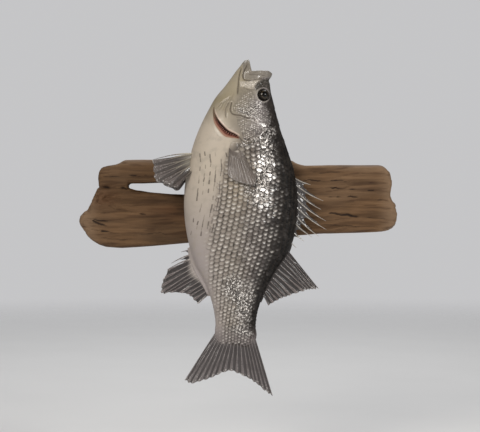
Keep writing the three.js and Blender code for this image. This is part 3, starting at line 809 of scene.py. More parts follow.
fishColors = {
    "belly": (0.53, 0.462, 0.380), "rearBelly": (0.37, 0.327, 0.317), "mottle": (0.37, 0.325, 0.272),
    "throat": (0.31, 0.262, 0.175), "snout": (0.42, 0.365, 0.275),
    "flank": [     # from the belly's level up to the back
        (0.20, (0.34, 0.297, 0.263)), (0.45, (0.28, 0.243, 0.205)), (0.60, (0.150, 0.126, 0.112)),
        (0.72, (0.082, 0.068, 0.063)), (0.80, (0.019, 0.0145, 0.013)), (0.90, (0.006, 0.0045, 0.004)),
        (1.0, (0.003, 0.0025, 0.002)),
    ],
    "cheek": [
        (0.20, (0.33, 0.285, 0.215)), (0.48, (0.30, 0.267, 0.226)), (0.66, (0.31, 0.276, 0.268)),
        (0.76, (0.17, 0.15, 0.145)), (0.86, (0.036, 0.029, 0.026)), (1.0, (0.008, 0.006, 0.005)),
    ],
    "tail": (0.175, 0.150, 0.147), "brass": (0.46, 0.37, 0.25),
    # the last two are painted: shade in the gaps between the glints, and the glints themselves
    "paintedGlintGapShade": (0.07, 0.060, 0.056), "paintedSparkle": (0.95, 0.91, 0.87),
}
scaleColors = {
    "pigmentAndShadeOfPockets": (0.030, 0.024, 0.020), "shine": (0.20, 0.185, 0.175), "glow": (0.80, 0.755, 0.70),
    "dash": (0.075, 0.060, 0.050),
}
skinColors = {
    "bare": (0.20, 0.17, 0.135), "shadeUnderScales": (0.035, 0.028, 0.025), "underCheek": (0.10, 0.088, 0.080),
    "smoke": ((0.17, 0.150, 0.115), (0.25, 0.222, 0.18)), "cream": (0.56, 0.505, 0.43),
    "creamFleck": (0.16, 0.14, 0.115), "nose": ((0.026, 0.022, 0.016), (0.13, 0.115, 0.10)),
    "lip": (0.225, 0.20, 0.17), "paintedGillRimHighlight": (0.72, 0.56, 0.47), "lining": (0.26, 0.19, 0.145),
    "paintedCreaseShade": (0.060, 0.045, 0.032), "eyeRing": (0.40, 0.37, 0.33), "membrane": (0.25, 0.195, 0.135),
    # the rim's pink and the red inside are its own colours; the near black at the depth is painted shade
    "slit": [     # from the rim of the gill opening to its depth
        (0.0, (0.42, 0.30, 0.225)), (0.42, (0.36, 0.20, 0.145)), (0.56, (0.19, 0.055, 0.038)),
        (0.70, (0.028, 0.007, 0.006)),
    ],
}


def fishFinish(name, coat):
    # the same markings for the skin and, where coat is true, for the scales over it
    s, own = Shader(name), fishColors
    level, brass, head, silver = [s.mark(k) for k in ("level", "brass", "head", "silver")]
    mottle = s.noise(9, 4) - 0.5
    fine = s.noise(1.1, 3) - 0.5
    patch = (silver + mottle * 0.3).clamped()
    tone = (level + mottle * 0.08).clamped()
    belly = s.mix(s.mark("rear"), own["belly"], own["rearBelly"])
    belly = s.mix(s.mark("throat"), belly, own["throat"])
    belly = s.mix(s.mark("snout") * 0.5, belly, own["snout"])
    belly = s.mix(mottle.between(-0.02, 0.16) * 0.35, belly, own["mottle"])
    flank = s.ramp(tone, own["flank"])
    cheek = s.ramp((tone - s.mark("snout") * 0.16).clamped(), own["cheek"])
    color = s.mix(patch, belly, s.mix(head, flank, cheek))
    color = s.mix(s.mark("tail") * 0.85, color, own["tail"])
    silverBand = silver * (1 - level.between(0.74, 0.89))     # the dark back has no silver
    shine = s.mark("shine") * silverBand * (1 - head * 0.2)
    glitter = s.noise(1.5, 2)
    color = s.mix(brass * silverBand * 0.5, color, own["brass"])
    spark = s.noise(1.9, 1)
    # painted shade: darkens the glint zone between the flecks, so the glints stand out on dark
    shade = (shine * 1.3).clamped() * (1 - spark.between(0.36, 0.45)) * 0.7
    color = s.mix(shade, color, own["paintedGlintGapShade"])
    # painted glints: bright flecks painted into the colour where the glints fall
    paintedSparkle = (shine * 1.5).clamped() * spark.between(0.56, 0.62)
    height = fine * 0.5 + glitter * shine * 3.0
    if coat:
        own = scaleColors
        edge, dash, glow, rings = [s.mark(k) for k in ("edge", "dash", "glow", "out")]
        firm = silver.between(0.35, 1.0)
        # the dark pockets of each scale: partly pigment, partly painted shade
        color = s.mix(edge * firm * 0.92, color, own["pigmentAndShadeOfPockets"])
        color = s.mix(shine * 0.6, color, own["shine"])
        # the pale centre of each scale, partly its own colour and partly a painted highlight
        color = s.mix((glow * 1.25).clamped() * silverBand * 0.95, color, own["glow"])
        color = s.mix(dash.between(0.25, 0.75) * 0.72, color, own["dash"])
        growth = (rings * 75).math("SINE") * 0.12 + (s.mark("across") * 30).math("SINE") * rings * 0.10
        height = height + growth * silver
        rough = 0.52 - silverBand * 0.18 + mottle * 0.2 + edge * firm * 0.25 - shine * 0.14
        coatWeight = 0.04 + silver * 0.06 + silverBand * 0.75 - edge * silverBand * 0.5
    else:
        own = skinColors
        paintedCreaseShade, red, lining, ring, nose, cream, smoke = [
            s.mark(k) for k in ("paintedCreaseShade", "red", "lining", "ringMark", "nose", "cream", "smoke")
        ]
        # painted shade: the skin under the scales is dark, so the gaps between them read as shadow
        under = (1 - s.mark("bare")) * silver
        color = s.mix(s.mark("bare") * silver * (1 - head) * 0.6, color, own["bare"])
        color = s.mix(under * (1 - head) * 0.85, color, own["shadeUnderScales"])
        color = s.mix(under * head * 0.3, color, own["underCheek"])
        color = s.mix(smoke * 0.55, color, s.mix(glitter.between(0.35, 0.65), *own["smoke"]))
        color = s.mix(cream * 0.85, color, own["cream"])
        color = s.mix(cream * glitter.between(0.45, 0.7) * 0.5, color, own["creamFleck"])
        color = s.mix(nose * 0.92, color, s.mix(s.noise(2.4, 2).between(0.42, 0.68), *own["nose"]))
        color = s.mix(s.mark("lip") * 0.85, color, own["lip"])
        # painted highlight along the edge of the gill cover
        color = s.mix(s.mark("rim") * 0.8, color, own["paintedGillRimHighlight"])
        color = s.mix(lining.between(0.2, 0.9), color, own["lining"])
        # painted shade in the creases
        color = s.mix(paintedCreaseShade * 0.85, color, own["paintedCreaseShade"])
        color = s.mix(ring * 0.85, color, own["eyeRing"])
        slit = s.ramp(red, own["slit"])
        slit = s.mix(s.mark("throat").between(0.16, 0.5), slit, own["membrane"])
        color = s.mix(red.between(0.05, 0.25), color, slit)
        height = height + glitter * cream * 1.5
        rough = 0.44 + mottle * 0.25 + lining * 0.1 + nose * 0.15 - shine * 0.2
        coatWeight = (0.20 + silver * 0.22 - paintedCreaseShade * 0.2 - nose * 0.2 + lining * 0.1).clamped()
    # the painted glints go over both the skin and the scales
    color = s.mix(paintedSparkle * 0.9, color, fishColors["paintedSparkle"])
    return s.finish(
        Base_Color=color, Roughness=rough, Coat_Weight=coatWeight, Coat_Roughness=0.09,
        Specular_IOR_Level=0.2, Metallic=(silverBand * 0.10 + shine * 0.8 - paintedSparkle * 0.7).clamped(),
        Normal=s.bump(height, 0.12 if coat else 0.3),
    )


# the lateral line, as (z, u); the rows of scales run beside it
lateralLine = np.array([
    (-160, 4), (-140, 4), (-100, 9), (-50, 20), (0, 26), (40, 27), (85, 20), (165, 14),
], float)
# rows and pitches: places along the body, and the distance there between rows and along a row;
# width and length are shares of these, the other sizes of one scale are in millimetres
scalePlan = {
    "rows": ([-158, -110, -60, 60, 110], [3.6, 4.5, 6.1, 6.1, 4.9]),
    "pitches": ([-158, -135, -60, 80, 116], [3.0, 3.9, 4.85, 4.85, 3.8]), "from": 116, "to": -158,
    "width": 1.38, "length": 1.95, "sunk": 0.35, "low": 0.0, "lift": 0.80, "dome": 0.36, "thick": 0.16,
    "laid": 0.18, "edge": 1.0, "stray": 0.12,
}
headScales = {
    "rows": ([0], [2.4]), "pitches": ([0], [2.3]), "from": 128, "to": 72,
    "width": 1.5, "length": 1.9, "sunk": 0.2, "low": 0.06, "lift": 0.24, "dome": 0.12, "thick": 0.1,
    "laid": 0.02, "edge": 0.40, "stray": 0.3,
}
uneven = {"spin": 0.07, "tip": 0.30, "size": 0.04, "lift": 0.35, "shinyTip": 4.5, "shinyLift": 0.5}
# the broken dark dashes low on the flank: the band's middle as z and u, half its height, its ends
dashes = {"z": [-45, 14, 60], "u": [-42, -40, -37], "reach": 14.5, "from": -38, "to": 54, "size": 4.4}
flankEnds = (-162, 166)
flankReach = 120     # how far the map of a flank goes up and down from the lateral line

class Flank:
    # one side of the body, measured by the distance down the side from the lateral line
    def __init__(self, side):
        self.side = side
        self.z = np.linspace(*flankEnds, flankEnds[1] - flankEnds[0] + 1)
        angle = np.linspace(-0.5, math.pi + 0.5, 321)
        shape = onBody(angle[None], self.z[:, None], side)
        gone = np.linalg.norm(np.diff(shape, axis=1), axis=2)
        reach = np.concatenate([np.zeros((len(self.z), 1)), np.cumsum(gone, axis=1)], axis=1)
        back, _, widest, _ = sectionAt(self.z)
        line = np.interp(self.z, lateralLine[:, 0], lateralLine[:, 1])
        start = np.arccos(np.clip((line - widest) / (back - widest), -1, 1))
        self.down = np.arange(-flankReach, flankReach + 0.1, 0.5)
        self.angle = np.array([
            np.interp(self.down, r - np.interp(a, angle, r), angle) for r, a in zip(reach, start)
        ])

    def angleAt(self, down, z):
        i = np.clip((z - self.z[0]) / (self.z[1] - self.z[0]), 0, len(self.z) - 1.001)
        k = np.clip((down - self.down[0]) * 2, 0, len(self.down) - 1.001)
        i0, k0 = i.astype(int), k.astype(int)
        fi, fk0 = i - i0, k - k0
        t = self.angle
        here = (1 - fk0) * t[i0, k0] + fk0 * t[i0, k0 + 1]
        ahead = (1 - fk0) * t[i0 + 1, k0] + fk0 * t[i0 + 1, k0 + 1]
        return (1 - fi) * here + fi * ahead

    def foot(self, down, z):
        return onBody(self.angleAt(down, z), z, self.side)

    def at(self, down, z, height):
        # the place that far off the plain body
        angle = self.angleAt(down, z)
        here = onBody(angle, z, self.side)
        byAngle = onBody(angle + 0.03, z, self.side) - onBody(angle - 0.03, z, self.side)
        byZ = self.foot(down, z + 0.8) - self.foot(down, z - 0.8)
        n = np.cross(byAngle, byZ)
        n /= np.linalg.norm(n, axis=-1)[..., None] + 1e-9
        n *= -self.side
        return here + n * height[..., None]


def scaleGrid():
    # one scale as a grid: s runs across it from -1 to 1, t from its root at 0 to its free edge at 1
    t, s = np.meshgrid([0, 0.44, 0.66, 0.86, 1], np.sin(np.linspace(-0.5, 0.5, 9) * math.pi), indexing="ij")
    across = s * (0.74 + 0.26 * smooth(0, 0.55, t))
    front, rear = -0.62 + 0.10 * s ** 2, -0.12 + 0.50 * np.sqrt(1 - (0.97 * s) ** 2)
    ahead = front + (rear - front) * t
    return s.ravel(), t.ravel(), across.ravel(), ahead.ravel(), gridQuads(*t.shape), gridRim(*t.shape)


def skinHeight(tree, flank, down, z):
    # how far the finished skin stands off the plain body
    reach = 8.0
    top, foot = flank.at(down, z, np.full(down.shape, reach)), flank.at(down, z, np.zeros(down.shape))
    top, foot = toRoom(top).reshape(-1, 3), toRoom(foot).reshape(-1, 3)
    found = []
    for a, b in zip(top, foot):
        at, _, _, gone = tree.ray_cast(Vector(a * mm), Vector(b - a))
        found.append(np.nan if at is None else reach - gone / mm)
    found = np.array(found).reshape(down.shape)
    return np.where(np.isnan(found), np.nanmedian(found), found)


def scaleMarks(plan, root, down, z, places, s, t):
    # the body's markings, each scale a little off its neighbours, and the marks on each scale
    count, size = len(root), len(s)
    shown = 0.50 + 0.25 * smooth(0.35, 0.9, np.abs(s))     # where the scales ahead stop covering it
    # dark pockets where the scales ahead overlap it and along its sides: partly a scale's own dark pigment,
    # partly painted shade where the scales meet
    pigmentAndShadeOfPockets = np.clip(0.75 * smooth(shown + 0.12, shown - 0.02, t) + smooth(0.5, 0.9, np.abs(s)), 0, 1)
    # a pale spot at the middle of each scale's free part: partly its lighter centre, partly a painted
    # highlight
    paleCentreAndHighlight = bell(s, 0.36) * bell(t - 0.85, 0.11)
    marks = bodyMarks(places)
    one = lambda spread: np.repeat(random.normal(size=count) * spread, size)
    marks["level"] = np.clip(marks["level"] + one(0.024), 0, 1)
    unsure = 4 * marks["silver"] * (1 - marks["silver"])
    marks["silver"] = np.clip(marks["silver"] + one(0.10) * unsure, 0, 1)
    fromBand = np.abs(root[:, 0] - np.interp(root[:, 2], dashes["z"], dashes["u"]))
    streaky = noise(np.stack([down * 0.7, 0 * down, z / dashes["size"]], axis=1), 1.0, 61)
    dashed = (fromBand < dashes["reach"]) & (streaky > 0.48)
    dashed &= (root[:, 2] < dashes["to"]) & (root[:, 2] > dashes["from"])
    dash = bell(s, 0.24) * smooth(0.3, 0.5, t)
    marks["edge"] = (pigmentAndShadeOfPockets[None] * plan["edge"] * (0.75 + 0.25 * random.random((count, 1)))).ravel()
    marks["glow"] = (paleCentreAndHighlight[None] * random.random((count, 1)) ** 1.1).ravel()
    marks["dash"] = (dash[None] * dashed[:, None] * (0.5 + 0.5 * random.random((count, 1)))).ravel()
    marks["out"], marks["across"] = np.tile(t, count), np.tile(s, count)
    return marks


def layUv(piece, uv):
    corners = np.empty(len(piece.data.loops), np.int32)
    piece.data.loops.foreach_get("vertex_index", corners)
    layer = piece.data.uv_layers.new(name="OFBake")
    layer.data.foreach_set("uv", uv[corners].astype(np.float32).ravel())


def scaleCoat(name, flank, plan, centres, tree=None):
    # centres is rows of down, z, row width, pitch, firmness; one closed plate is laid at each
    s, t, across, ahead, top, rim = scaleGrid()
    down, z, width, pitch, firm = [c[:, None] for c in centres.T]
    count = len(centres)
    root = flank.at(down[:, 0], z[:, 0], np.zeros(count))
    rootMarks = bodyMarks(root)
    shiny = rootMarks["shine"][:, None]
    spread = np.reshape([uneven["spin"], uneven["tip"], uneven["size"]], (3, 1, 1))
    spin, tip, grow = random.normal(size=(3, count, 1)) * spread
    tip *= 1 + uneven["shinyTip"] * shiny
    x = across * width * plan["width"] / 2 * (1 + grow)
    v = ahead * pitch * plan["length"] * (1 + grow)
    wild = uneven["lift"] + uneven["shinyLift"] * shiny
    free = plan["low"] + plan["lift"] * firm * np.clip(1 + wild * random.normal(size=(count, 1)), 0.1, 2.4)
    sunk = plan["sunk"] * (0.02 + 0.98 * firm)
    laid = plan["laid"] * (1 - firm)     # soft scales rest on the skin
    height = laid - sunk + (free + sunk) * t + tip * firm * s * plan["dome"]
    height += plan["dome"] * firm * ((1 - s ** 2) * smooth(0.1, 0.6, t) - 0.35 * smooth(0.8, 1, t))
    downAt = down + x * np.cos(spin) + v * np.sin(spin)
    zAt = z - v * np.cos(spin) + x * np.sin(spin)
    if tree is None:
        base = -coatAt(rootMarks["silver"])[:, None]
    else:
        base = skinHeight(tree, flank, downAt, zAt)
    shell = flank.at(downAt, zAt, height + base)
    low = height + base - plan["thick"]
    under = flank.at(downAt[:, rim], zAt[:, rim], low[:, rim])
    each = np.concatenate([shell, under, under.mean(1, keepdims=True)], axis=1)
    size = each.shape[1]
    n, r = len(s), len(rim)
    k = np.arange(r)
    after = (k + 1) % r
    skirt = np.stack([rim[k], n + k, n + after, rim[after]], axis=1)
    fan = np.stack([n + k, np.full(r, n + r), n + after], axis=1)
    quads = np.vstack([top, skirt])
    if flank.side < 0:
        quads, fan = quads[:, ::-1], fan[:, ::-1]     # so that the plates of both flanks face out
    shift = (np.arange(count) * size)[:, None, None]
    quads = (quads[None] + shift).reshape(-1, 4)
    tris = (fan[None] + shift).reshape(-1, 3)

    s, t = np.concatenate([s, s[rim], [0]]), np.concatenate([t, t[rim], [0.5]])
    places = each.reshape(-1, 3)
    marks = scaleMarks(plan, root, down[:, 0], z[:, 0], places, s, t)
    piece = meshObject(name, toRoom(places), quads, tris, marks)
    ends = edgeEnds(piece)
    soft = firm[ends[:, 0] // size, 0] < 0.5
    crisp = np.isin(ends % size, rim).all(1) & soft     # so that the flat scales of the belly shade evenly
    piece.data.attributes.new("sharp_edge", "BOOLEAN", "EDGE").data.foreach_set("value", crisp)

    # each scale is a small patch at its root's place on the body's unwrap
    margin, patch = 0.03, 0.003
    turn = np.clip(flank.angleAt(down[:, 0], z[:, 0]) / math.pi, 0, 1)
    gone = (z[:, 0] - flankEnds[0]) / (flankEnds[1] - flankEnds[0])
    home = np.stack([margin + (1 - 2 * margin) * turn, margin + (1 - 2 * margin) * gone], axis=1)
    uv = home[:, None] + patch / 2 * np.stack([s, 2 * t - 1], axis=1)[None]
    layUv(piece, uv.reshape(-1, 2))
    print(name + ":", count, "scales,", len(quads) * 2 + len(tris), "triangles")
    return piece


def lattice(flank, plan):
    # places in rows along the body, every second row half a step behind
    pitchAt = lambda z: np.interp(z, *plan["pitches"])
    zs = [plan["from"]]
    while zs[-1] > plan["to"]:
        zs.append(zs[-1] - pitchAt(zs[-1]))
    zs = np.array(zs)
    found = []
    for row in range(-34, 35):
        z = zs - (pitchAt(zs) / 2 if row % 2 else 0)
        z = z + random.normal(size=len(z)) * plan["stray"]
        wide = np.interp(z, *plan["rows"])
        down = row * wide + random.normal(size=len(z)) * plan["stray"]
        found.append(np.stack([down, z, wide, pitchAt(z)], axis=1))
    found = np.vstack(found)
    found = found[(np.abs(found[:, 0]) < flankReach - 2) & (found[:, 1] > plan["to"])]
    angle = flank.angleAt(found[:, 0], found[:, 1])
    return found, angle, onBody(angle, found[:, 1], flank.side)


def buildScales(side, word, tree):
    flank = Flank(side)
    found, angle, root = lattice(flank, scalePlan)
    u, z = root[:, 0], root[:, 2]
    trunk, _ = scaled(u, z)
    keep = (trunk > 0.5) & (angle > -0.03) & (angle < math.pi + 0.03)
    # scales are firm on the silver, and softer at the nape, at the tail and along the back
    firm = 0.02 + 0.98 * bodyMarks(root)["silver"]
    firm *= 1 - 0.8 * smooth(98, 114, z)
    firm *= 1 - 0.8 * smooth(-138, -154, z)
    firm *= 1 - 0.7 * smooth(0.6, 0.2, angle)
    trunkPiece = scaleCoat("flank_scales_" + word, flank, scalePlan, np.column_stack([found, firm])[keep])

    found, angle, root = lattice(flank, headScales)
    u, z = root[:, 0], root[:, 2]
    _, cheek = scaled(u, z)
    clear = np.hypot(u - eye["at"][0], z - eye["at"][1]) > eye["ring"] + 2.2
    keep = (cheek > 0.5) & clear & (angle > 0.1) & (angle < math.pi - 0.1)
    firm = (0.6 + 0.4 * random.random(len(found))) * smooth(1, -5, rimOf(u, z))
    centres = np.column_stack([found, firm])[keep]
    return [trunkPiece, scaleCoat("cheek_scales_" + word, flank, headScales, centres, tree)]


def buildEye(side, word):
    # a glass eye; polar is the angle from the middle of the cornea
    rows, columns = 56, 96
    tilt = np.array(eye["facing"]) * (1, -side, 1)
    tilt /= np.linalg.norm(tilt)
    across = np.cross(tilt, (0, 0, 1.0))
    across /= np.linalg.norm(across)
    third = np.cross(across, tilt)
    polar = np.concatenate([np.linspace(0.012, 1.5, rows - 6), np.linspace(1.65, 3.12, 6)])[:, None]
    turn = np.linspace(0, 2 * math.pi, columns, endpoint=False)[None]
    bulge = eye["radius"] * (1 + eye["cornea"] * bell(polar, 0.55))
    dirs = (np.sin(polar) * np.cos(turn))[..., None] * across
    dirs = dirs + (np.sin(polar) * np.sin(turn))[..., None] * third
    dirs = dirs + (np.cos(polar) + 0 * turn)[..., None] * tilt
    u, z = eye["at"]
    middle = np.array([u, onFlank(np.array(u), z, side, eye["sink"]), z])
    points, quads, tris = outward(*closedLoft(middle + dirs * bulge[..., None]))
    gone = np.concatenate([np.repeat(polar[:, 0], columns), [0, math.pi]])
    angle = np.concatenate([np.tile(turn[0], rows), [0, 0]])
    ripple = np.stack([np.cos(angle) * 7, np.sin(angle) * 7, gone * 1.6], axis=1)
    streak = noise(ripple, 0.42, 11) * 0.6 + noise(ripple, 0.2, 12) * 0.4
    marks = {"polar": gone / math.pi, "streak": streak}
    return meshObject("eye_ball_" + word, toRoom(points), quads, tris, marks)


eyeColors = {
    "pupil": (0.003, 0.0025, 0.0025), "iris": ((0.004, 0.003, 0.002), (0.018, 0.012, 0.007)),
    "gold": (0.21, 0.150, 0.075), "rim": (0.008, 0.006, 0.005), "socket": (0.08, 0.07, 0.06),
}


def eyeFinish():
    # polar is 0 at the middle of the cornea and 1 at the back of the eye
    s, own = Shader("glass_eye"), eyeColors
    polar, streak = s.mark("polar"), s.mark("streak")
    iris = s.mix(streak.between(0.3, 0.75), *own["iris"])
    color = s.mix(polar.between(0.165, 0.175), own["pupil"], iris)
    band = polar.between(0.163, 0.173) * (1 - polar.between(0.180, 0.192))
    color = s.mix(band * 0.45, color, own["gold"])
    color = s.mix(polar.between(0.33, 0.36), color, own["rim"])
    color = s.mix(polar.between(0.42, 0.45), color, own["socket"])
    return s.finish(
        Base_Color=color, Roughness=0.3, Specular_IOR_Level=0.1, Coat_Weight=0.55, Coat_Roughness=0.015,
    )


gillPlan = {
    "count": 92, "thick": 0.34, "sides": 6, "depth": 0.9, "deeper": 3.6, "uneven": 0.3,
    "pale": (0.34, 0.15, 0.105), "red": (0.085, 0.017, 0.012),
}


def buildGills(side, word):
    # a comb of red filaments that stands in the gill opening
    plan = gillPlan
    share = np.linspace(0.03, 0.97, plan["count"])
    rear = along(slitCurve, share)
    front = np.array([lowGill[np.argmin(np.hypot(*(lowGill - r).T))] for r in rear])
    t = np.linspace(0.25, 0.97, 7)
    thick = plan["thick"] * np.sqrt(np.clip(1.2 * t, 0.05, 1))
    parts = []
    for a, b in zip(front, rear):
        u, z = (b + (a - b) * (1 - t[:, None])).T
        depth = plan["depth"] + plan["deeper"] * t + plan["uneven"] * random.normal()
        line = np.column_stack([u, onFlank(u, z, side, depth), z])
        parts.append(outward(*tube(line, thick, sides=plan["sides"])))
    out = np.concatenate([np.repeat(t, plan["sides"]), [0, 1]])
    points, quads, tris = joined(parts)
    marks = {"out": np.tile(out, len(parts))}
    return meshObject("gill_filaments_" + word, toRoom(points), quads, tris, marks)


def gillFinish():
    s = Shader("gill_red")
    out = s.mark("out")
    lump = s.noise(1.6, 3)
    color = s.mix((out + lump * 0.3 - 0.15).between(0.25, 0.65), gillPlan["pale"], gillPlan["red"])
    return s.finish(
        Base_Color=color, Roughness=0.30 + lump * 0.2, Coat_Weight=0.25, Coat_Roughness=0.12,
        Normal=s.bump(lump, 0.2),
    )


# roots and tips are (u, z) lines that the rays' ends follow. A ray parts in two at branch, a share
# of its length; spread is how far its branches move apart, in steps between rays. notch is how
# deep the edge is cut between rays, and wave how far the sheet ripples.
finPlans = {
    "caudal_fin": {
        "roots": [(-15, -140), (-8, -149), (3, -152), (14, -149), (22, -140)],
        "tips": [(-51.6, -203), (-45, -207.4), (-33, -203.8), (-21.8, -199.6), (-10.8, -193.8), (0.4, -190.8),
                 (12, -194.6), (23.7, -199.6), (32, -204.6), (41.6, -212), (50, -217)],
        "rays": 17, "perRay": 14, "rows": 46, "rayThick": 1.25, "webThick": 0.55, "branch": 0.34,
        "notch": 0.022, "wave": 0.7,
    },
    "soft_dorsal_fin": {
        "roots": [(56, -48), (49, -60), (40, -74), (33, -87), (29, -98)],
        "tips": [(96.6, -92.6), (88, -94), (79.6, -95.4), (62.9, -102), (51.8, -106.8), (39, -114.4)],
        "rays": 13, "perRay": 12, "rows": 40, "rayThick": 1.0, "webThick": 0.4, "branch": 0.5,
        "notch": 0.03, "wave": 0.9,
    },
    "anal_fin": {
        "roots": [(-45, -64), (-41, -73), (-36, -82), (-30, -92), (-25, -101)],
        "tips": [(-78, -80), (-84.3, -97), (-83.6, -108), (-73.5, -106.3), (-56.4, -106.4), (-50, -109.6),
                 (-41.8, -117.6)],
        "rays": 11, "perRay": 12, "rows": 40, "rayThick": 1.1, "webThick": 0.45, "branch": 0.5,
        "notch": 0.035, "wave": 0.8,
    },
    "pectoral_fin_left": {
        "roots": [(-20, 63.8), (-14.5, 64.2), (-9, 63)],
        "tips": [(-21.4, 44), (-20.2, 29.8), (-12, 23.5), (-0.6, 20.9), (10.6, 20.5), (11, 28.4)],
        "rays": 15, "perRay": 8, "rows": 36, "rayThick": 0.75, "webThick": 0.4, "branch": 0.6,
        "notch": 0.012, "wave": 0.35,
    },
    "pectoral_fin_right": {
        "roots": [(-9, 65), (-12, 64.5), (-15.5, 63)],
        "tips": [(-50, 36), (-52, 43), (-47, 52), (-38, 60), (-26, 66.5)],
        "rays": 13, "perRay": 8, "rows": 32, "rayThick": 0.75, "webThick": 0.4, "branch": 0.6,
        "notch": 0.012, "wave": 0.25,
    },
    "pelvic_fin_left": {
        "roots": [(-51.5, 52.4), (-50.5, 47), (-49.6, 41.4)],
        "tips": [(-104.6, 41), (-103.4, 30), (-101.6, 21), (-88.8, 16.5), (-75.6, 12), (-66, 25)],
        "rays": 6, "perRay": 26, "spread": 0.19, "rows": 44, "rayThick": 1.7, "webThick": 0.5, "branch": 0.3,
        "notch": 0.03, "wave": 1.0,
    },
}
finPlans["pelvic_fin_right"] = {
    **finPlans["pelvic_fin_left"], "tips": [(u + 4, z - 3) for u, z in finPlans["pelvic_fin_left"]["tips"]],
}
spines = {
    # root, tip of each spine, in front of and behind the middle of the back
    "spiny_dorsal_fin": [
        ((59, 33), (79.5, 26.2)), ((60.5, 26), (95.2, 8.6)), ((61.2, 19), (93.5, -1.4)),
        ((61.5, 11), (99.8, -14.2)), ((61.5, 2.5), (101, -24)), ((61, -6), (93, -32.5)),
        ((59.8, -15), (84.8, -33.6)), ((58, -24), (76.2, -39)), ((55, -34), (67.4, -47)),
    ],
    "anal_fin": [
        ((-47, -56.5), (-64, -59.6)), ((-46.5, -60), (-74.4, -73)), ((-45, -64.5), (-78.5, -80.5)),
    ],
}
# lift: how far each pectoral fin stands off the flank, from its root to its edge; splay: how far
# each pelvic fin's edge swings out
pairedFins = {
    "pectoral_fin_left": {"side": 1, "lift": (-2.5, 1.8, 3.0, 5.2)},
    "pectoral_fin_right": {"side": -1, "lift": (-2.5, 1.5, 1.9, 2.4)},
    "pelvic_fin_left": {"side": 1, "splay": 13}, "pelvic_fin_right": {"side": -1, "splay": 8},
}


def rayShape(gone, reach, branch, width, spread):
    # height of the rays beside a ray's middle: one stem that parts in two, then in four
    first = spread * smooth(branch, branch + 0.34, reach)
    second = 0.5 * spread * smooth(branch + 0.32, branch + 0.62, reach)
    best = np.zeros(gone.shape)
    for a in (-1, 1):
        for b in (-1, 1):
            off = gone - a * first - b * second
            best = np.maximum(best, np.sqrt(np.clip(1 - (off / width) ** 2, 0, 1)))
    return best


def sheetOf(at, y, thick):
    # a closed sheet round a grid of (u, z) places
    outer = np.stack([at[..., 0], y - thick / 2, at[..., 1]], axis=-1)
    inner = np.stack([at[..., 0], y + thick / 2, at[..., 1]], axis=-1)
    return outward(*plate(outer, inner))


def finSheet(plan, sideAt, seed):
    columns = (plan["rays"] - 1) * plan["perRay"] + 1
    share = np.linspace(0, 1, columns)[:, None]
    q = share * (plan["rays"] - 1)
    gone = q - np.round(q)     # steps from the nearest ray
    out = np.linspace(0, 1, plan["rows"] + 1)[None] ** 0.92
    field = np.column_stack([share[:, 0] * plan["rays"] * 2.3, 0 * share[:, 0], 0 * share[:, 0] + seed])
    rag = noise(field, 1.0, seed)[:, None]
    reach = out * (1 - plan["notch"] * (smooth(0.1, 0.5, np.abs(gone)) + 0.9 * rag))
    root, tip = along(plan["roots"], share[:, 0])[:, None], along(plan["tips"], share[:, 0])[:, None]
    at = root + (tip - root) * reach[..., None]
    stems = rayShape(gone, reach, plan["branch"], 0.085 + 0.03 * reach, plan.get("spread", 0.11))
    thick = plan["webThick"] * (1.5 - 0.8 * np.sqrt(reach))
    thick = thick + plan["rayThick"] * stems * (1.25 - 0.95 * reach ** 0.8)
    # joints of the rays
    size = np.linalg.norm(tip - root, axis=2)
    joints = np.sin(reach * size / 1.1 * 2 * math.pi / 1.6)
    thick = thick * (1 + 0.06 * joints * stems * smooth(0.25, 0.5, reach))
    field = np.stack([q + 0 * reach, reach * 2.2, 0 * reach + seed], -1).reshape(-1, 3)
    pucker = (plan["wave"] * (noise(field, 1.0, seed) - 0.5)).reshape(reach.shape)
    pucker = pucker * smooth(0.05, 0.5, reach) * 2
    fold = -0.35 * plan["wave"] * np.cos(2 * math.pi * gone) * smooth(0.1, 0.6, reach)
    y = sideAt(at[..., 0], at[..., 1], reach, share) + pucker + fold
    marks = {"ray": stems, "out": reach, "across": share + 0 * reach}
    return [sheetOf(at, y, thick)], {key: np.tile(v.ravel(), 2) for key, v in marks.items()}


def spineRods(rods, middleAt, thick=1.0, sides=10):
    parts, marks = [], {"ray": [], "out": [], "across": []}
    t = np.linspace(-0.05, 1, 22)
    held = np.clip(t, 0, 1)
    for k, (root, tip) in enumerate(rods):
        root, tip = np.array(root, float), np.array(tip, float)
        gone = tip - root
        bow = np.array([gone[1], -gone[0]]) * 0.045
        line = root + gone * t[:, None] + bow * np.sin(held * math.pi)[:, None]
        y = middleAt(line[:, 0], line[:, 1], t, k / max(1, len(rods) - 1))
        radius = thick * (0.16 + 0.84 * (1 - held) ** 0.8)
        part = outward(*tube(np.stack([line[:, 0], y, line[:, 1]], axis=1), radius, sides=sides))
        count = len(part[0])
        parts.append(part)
        marks["ray"].append(np.full(count, 1.5))
        marks["out"].append(np.concatenate([np.repeat(t, sides), [0, 1]]))
        marks["across"].append(np.full(count, k / len(rods)))
    return parts, {key: np.concatenate(v) for key, v in marks.items()}


